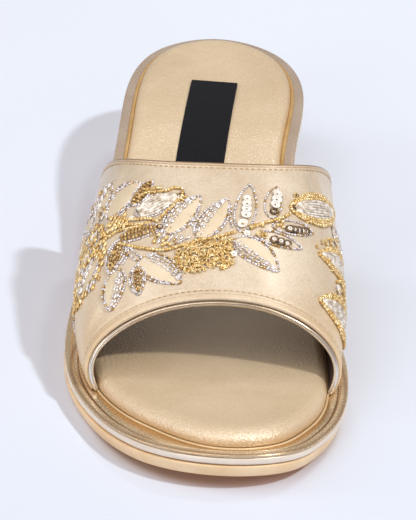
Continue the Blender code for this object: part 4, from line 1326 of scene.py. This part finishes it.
# Glass with a silver lining: the brightest white, sharpened by the glass's own gloss. Its colour drifts from
# warm brown to white: the white end is a painted glint, and the brown end the painted shade between the
# tubes.
silver_tubes = bead_finish(
    "silver_lined_glass_tubes", [(0.32, "#A3927F"), (0.48, "#D3CBCB"), (0.62, "#F5F3F7")],
    metallic=0.35, roughness=0.2, drift=1.0, coat=0.4)
# Untwisted floss: a calm grey sheen without points of light.
satin_thread = bead_finish(
    "silver_grey_satin_thread", [(0.34, "#B1A08E"), (0.48, "#D6CABC"), (0.62, "#F6F1EB")],
    metallic=0.1, roughness=0.4, drift=1.6)
# Amber glass with a gold lining under a clear coat. Its colour drifts from deep amber to pale cream, and the
# pale end is a painted highlight.
gold_glass = bead_finish(
    "gold_lined_glass_beads", [(0.3, "#BC9350"), (0.48, "#DDB872"), (0.66, "#FAE9BE")],
    metallic=0.35, roughness=0.24, drift=1.2, coat=0.4)
# Gilt brass, tumbled smooth: soft yellow highlights, and a cream end to its colour drift that is a painted
# highlight.
gilt_rings = bead_finish(
    "gilt_brass_rings", [(0.3, "#BA9252"), (0.5, "#DDBB7A"), (0.7, "#FAECC6")],
    metallic=0.4, roughness=0.28, drift=1.4)
# Gilding worn through to brown, which sets the bright threads off. The same brown also stands in the gaps of
# the outlines and between the strands, where it is painted shade.
antique_gold_and_shade = bead_finish(
    "antique_gold_and_painted_shade_beads", [(0.3, "#84602F"), (0.48, "#B68C4E"), (0.66, "#E6CC98")],
    metallic=0.4, roughness=0.28, drift=1.1, coat=0.3)
# Punched plastic under a bronze film: dark, with one clear highlight each.
bronze_film = bead_finish(
    "bronze_film_sequins", [(0.3, "#4A382B"), (0.5, "#6E5641"), (0.75, "#A68A66")],
    metallic=0.5, roughness=0.3, drift=1.6, coat=0.2)
# Punched plastic under a pearl film: nearly white, with a wet gloss.
pearl_film = bead_finish(
    "pearl_film_sequins", [(0.3, "#E6DDD3"), (0.75, "#F8F4F0")],
    metallic=0.0, roughness=0.2, drift=3.0, coat=0.6)
# Thin cream foil leather, laid under the threads of the padded leaves.
cream_foil = foil_leather(
    "cream_foil_applique", [(0.3, "#D4C2A5"), (0.75, "#E6D7BF")], metallic=0.1, roughness=0.5, grain=0.6,
    height=0.02, cloud=12.0, sparkle=0.05)
print("materials so far:", len(bpy.data.materials))

# %% [markdown]
# ## Laying the parts
# An embroiderer strings coils and beads along a line, lays tubes between two points, and sews flat rings
# and sequins down at single places. Each of the three ways is one function that turns chart places into
# rows for stamping. Hand work is never quite even, so a seeded generator shakes the places, the sizes and
# the tilts a little, in the same way on each run.

# %% Strings, flat parts and tubes
COIL = small_ring(8, 6, 0.3)        # faces round it, faces through it, share of it that is hole
BEAD = small_ring(9, 6, 0.22)
RING = small_ring(14, 6, 0.5)
DISC = dished_disc(16)
BAR = round_bar(8, 0.3)
SIZE_SPREAD = (0.92, 1.06)          # smallest and largest part against its nominal size
SHAKE = 0.05                        # how far a bead strays on the chart, mm


def beads_on(lines, shape, radius, pitch, squeeze=1.0):
    """Rows for stamping: a part at each step of each line, its axis along the line, lying on the leather."""
    chart, ahead = [np.vstack(column) for column in zip(*[string_on_band(line, pitch) for line in lines])]
    chart = chart + RANDOM.normal(0.0, SHAKE, chart.shape)
    ahead = unit(ahead) + RANDOM.normal(0.0, 0.12, ahead.shape)
    point, out = on_band(chart[:, 0], chart[:, 1])[:2]
    size = radius * RANDOM.uniform(*SIZE_SPREAD, len(point))
    thick = 0.5 * pitch * squeeze / shape[..., 2].max()
    sizes = np.stack([size, size, np.full(len(size), thick)], axis=1)
    return shape, (True, True), point + (0.85 * size)[:, None] * out, frame_of(ahead, out), sizes


def flat_on(places, shape, lift, tilt, lean=0.0, thickness=1.0):
    """Rows for stamping flat parts: (x, y, radius) rows, facing outwards with a small random tilt.

    lean tips the facing across the band, which stands rings on each other like shingles.
    """
    places = np.array(places, float)
    point, out, across = on_band(places[:, 0], places[:, 1])[:3]
    facing = out + RANDOM.normal(0.0, tilt, out.shape) + lean * across
    sizes = places[:, 2:3] * (1.0, 1.0, thickness)
    return shape, (True, True), point + lift * out, frame_of(facing, across), sizes


def tubes_on(segments, radius, lift=0.0):
    """Rows for stamping cut tubes, each between two chart points, a lift in mm above the leather."""
    ends = np.array(segments, float)
    start, end = on_band(ends[:, 0], ends[:, 1]), on_band(ends[:, 2], ends[:, 3])
    axis = end[0] - start[0]
    half = 0.5 * np.linalg.norm(axis, axis=1)
    out = unit(start[1] + end[1])
    size = radius * RANDOM.uniform(*SIZE_SPREAD, len(half))
    middle = 0.5 * (start[0] + end[0]) + (lift + 0.9 * radius + 0.02 * half ** 2)[:, None] * out
    return (BAR, (False, True), middle, frame_of(axis + RANDOM.normal(0.0, 0.04, axis.shape), out),
            np.stack([size, size, half], axis=1))

# %% [markdown]
# Fillings are made of the same parts. Barbs run from a leaf's vein to its rim, strands lie along it, and
# a padded leaf is a low cushion of foil leather under its threads.

# %% Fillings of a leaf
def inside_polygon(points, polygon):
    """Even-odd rule: a point is inside if a ray to +x crosses the outline an odd number of times."""
    a, b = np.array(polygon, float), np.roll(np.array(polygon, float), -1, axis=0)
    x, y = points[:, :1], points[:, 1:]
    spans = (a[:, 1] > y) != (b[:, 1] > y)
    cross = a[:, 0] + (y - a[:, 1]) / np.where(a[:, 1] == b[:, 1], 1.0, b[:, 1] - a[:, 1]) * (b - a)[:, 0]
    return (spans & (x < cross)).sum(axis=1) % 2 == 1


def chosen(rows, mask):
    """The rows for stamping that a mask picks."""
    shape, wraps, centres, axes, sizes = rows
    return shape, wraps, centres[mask], axes[mask], sizes[mask]


BARB_PITCH, BARB_LAG = 1.3, 0.02    # mm between barbs, and how far each leans towards the tip, share


def barbs(leaf, side):
    """Segments from the vein at t to near the side's edge at t + lag, as chart x, y, x, y."""
    long = float(np.hypot(*(np.array(leaf["tip"]) - leaf["base"])))
    at = np.linspace(0.06, 0.94 - BARB_LAG, int(long / BARB_PITCH))
    whole = np.linspace(0.0, 1.0, LINE_STEPS)
    return np.hstack([read_path(at, whole, leaf_edge(leaf, side, 0.02)),
                      read_path(at + BARB_LAG, whole, leaf_edge(leaf, side, 0.8))]).tolist()


def strands(line, length, gap):
    """Segments end to end along a chart line: its steps of about a length, each short by a share gap."""
    steps = max(int(round(np.hypot(*np.diff(line, axis=0).T).sum() / length)), 1)
    whole = np.linspace(0.0, 1.0, len(line))
    return np.hstack([read_path((np.arange(steps) + shift) / steps, whole, line)
                      for shift in (0.5 * gap, 1.0 - 0.5 * gap)]).tolist()


PADDED_ROWS, PADDED_COLUMNS = 26, 8


def applique(leaf, height):
    """Closed padded leaf: rings round it at each t, z = height (1-s^2)^0.5 (sin pi t)^0.5 above the band."""
    t = np.linspace(0.0, 1.0, PADDED_ROWS)
    left, right = [leaf_edge(leaf, side, 0.96, count=PADDED_ROWS) for side in (-1, 1)]
    s = np.linspace(-1.0, 1.0, PADDED_COLUMNS + 1)
    s = np.concatenate([s, s[-2:0:-1]])
    top = np.arange(len(s)) <= PADDED_COLUMNS
    chart = 0.5 * (left + right)[:, None] + 0.5 * s[None, :, None] * (right - left)[:, None]
    point, out = on_band(chart[..., 0].ravel(), chart[..., 1].ravel())[:2]
    swell = np.sqrt(1.0 - s ** 2) * np.sqrt(np.sin(math.pi * t).clip(0.0))[:, None]
    lift = height * swell * top + np.where(top, 0.12, -0.18)
    return (point + lift.reshape(-1, 1) * out).reshape(PADDED_ROWS, len(s), 3)

# %% [markdown]
# ## Threads of the pattern
# Every leaf gets its outline, and then the filling that its row in the table names: `half` has rows of short
# tubes on one side of the vein, with rows of brown beads between them that are painted shade, and a padded
# half on the other, `bare` a padded leaf with a few coils, `rows` coils along it, `bars` barbs on both sides,
# and `stripes` strands of satin thread.

# %% Outlines and strings
silver_lines = [smooth_line(line) for line in SILVER_STRINGS]
gold_lines = [smooth_line(line) for line in GOLD_STRINGS]
fine_lines, antique_lines, shade_gap_bead_lines, padded = [], [], [], []
gold_barbs, leaf_rows, satin_rows = [], [], []
for leaf in LEAVES:
    edges = [leaf_edge(leaf, side) for side in (-1, 1)]
    if leaf["edge"] == "gold":
        gold_lines += edges + [leaf_edge(leaf, side, spread, 0.04, 0.96)
                               for side in (-1, 1) for spread in (0.84, 0.68)]
    else:
        silver_lines += edges
    if leaf["fill"] == "half":
        side = leaf["side"]
        for share, first in ((0.74, 0.06), (0.48, 0.1), (0.22, 0.2)):
            leaf_rows += strands(leaf_edge(leaf, side, share, first, 0.95), 2.3, 0.22)
        fine_lines += [leaf_edge(leaf, side, 0.02, 0.06, 0.8), leaf_edge(leaf, -side, 0.8, 0.1, 0.94)]
        # Brown beads in two rows between the strands stand in for the shade in the gaps between them: painted
        # shade.
        shade_gap_bead_lines += [leaf_edge(leaf, side, share, 0.3, 0.94) for share in (0.62, 0.86)]
    if leaf["fill"] in ("half", "bare"):
        padded.append(applique(leaf, 0.45))
    if leaf["fill"] == "bare":
        fine_lines += [leaf_edge(leaf, side, spread, 0.06, 0.96)
                       for side, spread in ((1, 1.2), (1, 0.84), (-1, 0.84), (1, 1.38), (-1, 1.2))]
    if leaf["fill"] == "rows":
        fine_lines += [leaf_edge(leaf, side, 0.7, 0.1, 0.9) for side in (-1, 1)]
        antique_lines += [leaf_edge(leaf, side, 0.35, 0.12, 0.84) for side in (-1, 1)]
        antique_lines.append(leaf_edge(leaf, 1, 0.0, 0.08, 0.9))
    if leaf["fill"] == "bars":
        gold_barbs += barbs(leaf, -1) + barbs(leaf, 1)
    if leaf["fill"] == "stripes":
        rim = 0.52 if leaf["edge"] == "gold" else 0.8
        for i, share in enumerate((-1.0, -0.66, -0.33, 0.0, 0.33, 0.66, 1.0)):
            satin_rows += strands(leaf_edge(leaf, 1, rim * share, 0.07, 0.95), 2.6 + 0.45 * (i % 4), -0.25)
print("lines:", len(silver_lines), "silver and", len(gold_lines), "gold; tubes:", len(leaf_rows),
      "in rows and", len(gold_barbs), "as barbs; satin strands:", len(satin_rows))

# %% [markdown]
# ## Bead mass
# Between the leaves the outer side is strewn with small beads and tubes that all lie much the same way.
# Placing them one by one would take a day at the frame, and here a staggered grid does it, cut to an
# outline, cleared of the leaves and shaken.

# %% Bead mass on the outer side
MASS_PITCH = 1.6                        # between small parts, chart mm
MASS_LAY = np.array([0.35, 0.85])       # half a silver tube, the way the small parts lie, chart mm


def scattered(polygon):
    """Places on a staggered grid inside a polygon and clear of the leaves, each moved by about 0.2 mm."""
    low, high = np.min(polygon, axis=0), np.max(polygon, axis=0)
    rows, columns = np.meshgrid(np.arange(low[1], high[1], MASS_PITCH * 0.82),
                                np.arange(low[0], high[0], MASS_PITCH), indexing="ij")
    columns = columns + 0.5 * MASS_PITCH * (np.arange(rows.shape[0]) % 2)[:, None]
    places = np.stack([columns.ravel(), rows.ravel()], axis=1)
    places = places[inside_polygon(places, polygon)]
    free = np.ones(len(places), bool)
    for leaf in LEAVES:
        outline = np.vstack([leaf_edge(leaf, -1, 1.12), leaf_edge(leaf, 1, 1.12)[::-1]])
        free &= ~inside_polygon(places, outline)
    return places[free] + RANDOM.normal(0.0, 0.22, (int(free.sum()), 2))


def laid(places, share=1.0):
    """Segments through the places, the way that small parts lie."""
    return np.hstack([places + share * MASS_LAY, places - share * MASS_LAY])


mass_gold, mass_brown = [], []
white_tubes = list(DASHES[0])
gold_barbs += DASHES[1]
for polygon, gold_share, brown_share in MASSES:
    places = scattered(polygon)
    kind = RANDOM.random(len(places))
    mass_gold.append(places[kind < gold_share])
    mass_brown.append(places[(kind >= gold_share) & (kind < gold_share + brown_share)])
    white_tubes += laid(places[kind >= gold_share + brown_share]).tolist()
mass_gold, mass_brown = laid(np.vstack(mass_gold), 0.8), laid(np.vstack(mass_brown), 0.8)
print("bead mass:", len(mass_gold), "gold,", len(mass_brown), "brown")

# %% [markdown]
# ## The embroidery's pieces
# Parts of one material become one piece. About every fifth coil is brown, which stands in for the shade in
# the gaps of the outlines, a painted shade, and goes to the piece of antique gold.

# %% Padded leaves, coils and tubes
applique_mesh = mesh_of("cream_applique_leaves", np.vstack([grid.reshape(-1, 3) for grid in padded]),
                        np.vstack([grid_quads(*grid.shape[:2], wrap_columns=True) + i * grid[..., 0].size
                                   for i, grid in enumerate(padded)]))
weld(applique_mesh)
finish_piece(applique_mesh, cream_foil)

outline = beads_on(silver_lines, COIL, radius=0.36, pitch=0.95, squeeze=0.9)
inner = beads_on(fine_lines, COIL, radius=0.28, pitch=0.85, squeeze=0.9)
painted_shade_coils, painted_shade_inner_coils = RANDOM.random(len(outline[2])) < 0.2, RANDOM.random(len(inner[2])) < 0.35
finish_piece(stamped_mesh("silver_coil_outlines", [chosen(outline, ~painted_shade_coils), chosen(inner, ~painted_shade_inner_coils)]),
             silver_wire)

tube_parts = [tubes_on(white_tubes, radius=0.38), tubes_on(leaf_rows, radius=0.4, lift=0.3)]
finish_piece(stamped_mesh("silver_cut_tubes", tube_parts), silver_tubes)

finish_piece(stamped_mesh("satin_strands", [tubes_on(satin_rows, radius=0.46)]), satin_thread)

# %% Gold beads
gold_parts = [beads_on(gold_lines, BEAD, radius=0.58, pitch=1.08), tubes_on(mass_gold, radius=0.52)]
finish_piece(stamped_mesh("gold_bead_strings", gold_parts), gold_glass)

antique_and_shade_parts = [chosen(outline, painted_shade_coils), chosen(inner, painted_shade_inner_coils),
                 beads_on(antique_lines, COIL, radius=0.38, pitch=1.3, squeeze=0.8),
                 beads_on(shade_gap_bead_lines, COIL, radius=0.42, pitch=1.9, squeeze=0.4),
                 tubes_on(gold_barbs, radius=0.5), tubes_on(mass_brown, radius=0.42)]
finish_piece(stamped_mesh("antique_gold_and_painted_shade_beads", antique_and_shade_parts), antique_gold_and_shade)

# %% Rings and sequins
cluster = (np.array(RING_CLUSTER) * (1.0, 1.0, 0.76)
           + RANDOM.normal(0.0, [0.15, 0.15, 0.05], (len(RING_CLUSTER), 3)))
seeds = RANDOM.uniform((-14.0, 10.5), (3.5, 25.5), (300, 2))
seeds = seeds[inside_polygon(seeds, CLUSTER_EDGE)]
seeds = np.column_stack([seeds, RANDOM.uniform(0.5, 0.75, len(seeds))])
ring_parts = [flat_on(cluster, RING, lift=0.6, tilt=0.5), flat_on(seeds, BEAD, lift=0.45, tilt=0.8)]
finish_piece(stamped_mesh("gold_ring_cluster", ring_parts), gilt_rings)

discs = LONE_DISCS + [disc for leaf in LEAVES if leaf["fill"] == "sequins" for disc in leaf["discs"]]
shingles = np.array([disc for leaf in LEAVES if leaf["fill"] == "shingles" for disc in leaf["discs"]])
pearl_parts = [flat_on(discs, DISC, lift=0.45, tilt=0.1, thickness=1.1),
               flat_on(shingles * (1.0, 1.0, 0.56), BEAD, lift=0.7, tilt=0.1)]
finish_piece(stamped_mesh("pearl_sequins", pearl_parts), pearl_film)

bronze_parts = [flat_on(shingles, RING, lift=0.7, tilt=0.05, lean=-0.3, thickness=0.8),
                flat_on(BRONZE_RINGS, RING, lift=0.5, tilt=0.15)]
finish_piece(stamped_mesh("bronze_sequins", bronze_parts), bronze_film)

# %% [markdown]
# ## Floor, light and camera
# A shoe for a catalogue stands on a pale sweep under soft light. Two lamps hang high over it: one behind to
# the right and one in front, which give the toe opening a shadow with two steps. A bright sky alone would be
# simpler, but its shadows have no edge, so it only fills in what the lamps leave. The paper of the sweep is a
# little lighter towards the back. The floor also glows faintly with a warm light of its own, which is painted
# light that lifts its shadows, and under the toe the glow is dimmer and the paper browner, a painted warm
# shade.

# %% Floor
FLOOR_NEAR, FLOOR_FAR = -130.0, 260.0           # y between which the paper grows lighter, mm
TOE_SHADE = (3.5, -83.0)                        # middle of the round of painted shade under the toe, mm
TOE_SHADE_INNER, TOE_SHADE_OUTER = 34.0, 40.0   # its radius where it is full, and where it ends
FLOOR_HALF, FLOOR_DROP = 6000.0, 0.05           # half the sheet's side, and how far it lies under z = 0

# Matt paper: no gloss at all, and a mottle too soft to see as a pattern.
floor_look, tree, shader = new_look("pale_matt_floor", Roughness=0.9, Specular_IOR_Level=0.0)
place = add_node(tree, "TexCoord").outputs["Object"]
mottle = add_node(tree, "TexNoise", {"Scale": per_metre(300.0), "Detail": 2.0},
                  {"Vector": place}).outputs["Fac"]
along = add_node(tree, "SeparateXYZ", {}, {0: place}).outputs["Y"]
away = add_node(tree, "MapRange", {"From Min": FLOOR_NEAR * MM, "From Max": FLOOR_FAR * MM},
                {"Value": along}).outputs["Result"]
near_paper = blend_colours(tree, mottle, [(0.3, "#BECEDF"), (0.75, "#C4D3E5")])
far_paper = blend_colours(tree, mottle, [(0.3, "#CFE0F3"), (0.75, "#D5E6F9")])
paper = add_node(tree, "Mix", {"data_type": "RGBA"}, {0: away, 6: near_paper, 7: far_paper}).outputs[2]
centred = add_node(tree, "VectorMath", {"operation": "SUBTRACT",
                                        1: (TOE_SHADE[0] * MM, TOE_SHADE[1] * MM, 0.0)}, {0: place})
reach = add_node(tree, "VectorMath", {"operation": "LENGTH"}, {0: centred.outputs["Vector"]})
painted_toe_shade_mask = add_node(tree, "MapRange", {"interpolation_type": "SMOOTHSTEP", "From Min": TOE_SHADE_OUTER * MM,
                                    "From Max": TOE_SHADE_INNER * MM},
                 {"Value": reach.outputs["Value"]}).outputs["Result"]
# Under the toe the paper is multiplied by a warm brown: painted shade.
painted_shading_tint = add_node(tree, "Mix", {"data_type": "RGBA", "blend_type": "MULTIPLY", 7: linear("#FCE4C8")},
                  {0: painted_toe_shade_mask, 6: paper})
tree.links.new(painted_shading_tint.outputs[2], shader.inputs["Base Color"])
# The floor's emission is painted light: a warm glow that lifts its shadows, dimmed under the toe as painted
# shade.
painted_floor_light = blend_colours(tree, away, [(0.0, "#694E48"), (1.0, "#65422F")])
tree.links.new(painted_floor_light, shader.inputs["Emission Color"])
painted_glow_strength = add_node(tree, "MapRange", {"To Min": 1.0, "To Max": 0.3}, {"Value": painted_toe_shade_mask})
tree.links.new(painted_glow_strength.outputs["Result"], shader.inputs["Emission Strength"])
edge = np.linspace(-FLOOR_HALF, FLOOR_HALF, 9)
xx, yy = np.meshgrid(edge, edge)
mesh = mesh_of("floor", np.stack([xx.ravel(), yy.ravel(), 0.0 * xx.ravel() - FLOOR_DROP], axis=1),
               grid_quads(9, 9))
mesh.materials.append(floor_look)
floor = bpy.data.objects.new("floor", mesh)
bpy.context.scene.collection.objects.link(floor)
print("floor:", 2.0 * FLOOR_HALF * MM, "m square")

# %% Light
scene = bpy.context.scene
scene.view_settings.view_transform = "Standard"
world = bpy.data.worlds.new("studio_air")
world.use_nodes = True
world.node_tree.nodes["Background"].inputs["Color"].default_value = linear("#FCF3EA")
world.node_tree.nodes["Background"].inputs["Strength"].default_value = 0.36
scene.world = world

LAMPS = [
    # name, place (x, y, z) mm, size mm, watts, colour
    ("key_front_right", (1125.0, -800.0, 1705.0), 150.0, 26.2, "#FFFDF8"),
    ("second_behind_right", (620.0, 420.0, 1650.0), 200.0, 3.2, "#FFFBF4"),
    ("front_softbox", (-350.0, -760.0, 1500.0), 1100.0, 7.0, "#FFFEFC"),
    ("overhead_left", (-850.0, -60.0, 1400.0), 700.0, 2.6, "#FFFEFC"),
    ("fill_front_left", (-800.0, -1300.0, 600.0), 800.0, 4.0, "#FFFBF6"),
    ("fill_left", (-1700.0, -100.0, 900.0), 900.0, 5.0, "#FFFBF6"),
]
AIM = Vector((0.0, 0.0, 20.0)) * MM
for name, place, size, watts, colour in LAMPS:
    lamp = bpy.data.lights.new(name, "AREA")
    lamp.shape, lamp.size, lamp.energy = "DISK", size * MM, watts
    lamp.color = linear(colour)[:3]
    holder = bpy.data.objects.new(name, lamp)
    holder.location = Vector(place) * MM
    holder.rotation_euler = (AIM - holder.location).to_track_quat("-Z", "Y").to_euler()
    scene.collection.objects.link(holder)
print("lamps:", len(LAMPS), "with", round(sum(lamp[3] for lamp in LAMPS), 1), "W in all")

# %% Camera
CAMERA_PLACE = Vector((-2.13, -750.5, 406.6)) * MM
CAMERA_AIM = Vector((0.0, 0.0, 11.5)) * MM
CAMERA_ROLL = math.radians(1.9)
LENS = 176.0
camera_data = bpy.data.cameras.new("catalogue_camera")
camera_data.lens, camera_data.sensor_width = LENS, 36.0
camera_data.clip_start, camera_data.clip_end = 0.05, 50.0
camera = bpy.data.objects.new("catalogue_camera", camera_data)
turn = (CAMERA_AIM - CAMERA_PLACE).to_track_quat("-Z", "Y").to_matrix().to_4x4()
camera.matrix_world = Matrix.Translation(CAMERA_PLACE) @ turn @ Matrix.Rotation(CAMERA_ROLL, 4, "Z")
scene.collection.objects.link(camera)
scene.camera = camera
print("camera:", round((CAMERA_AIM - CAMERA_PLACE).length, 3), "m away, lens", LENS, "mm")
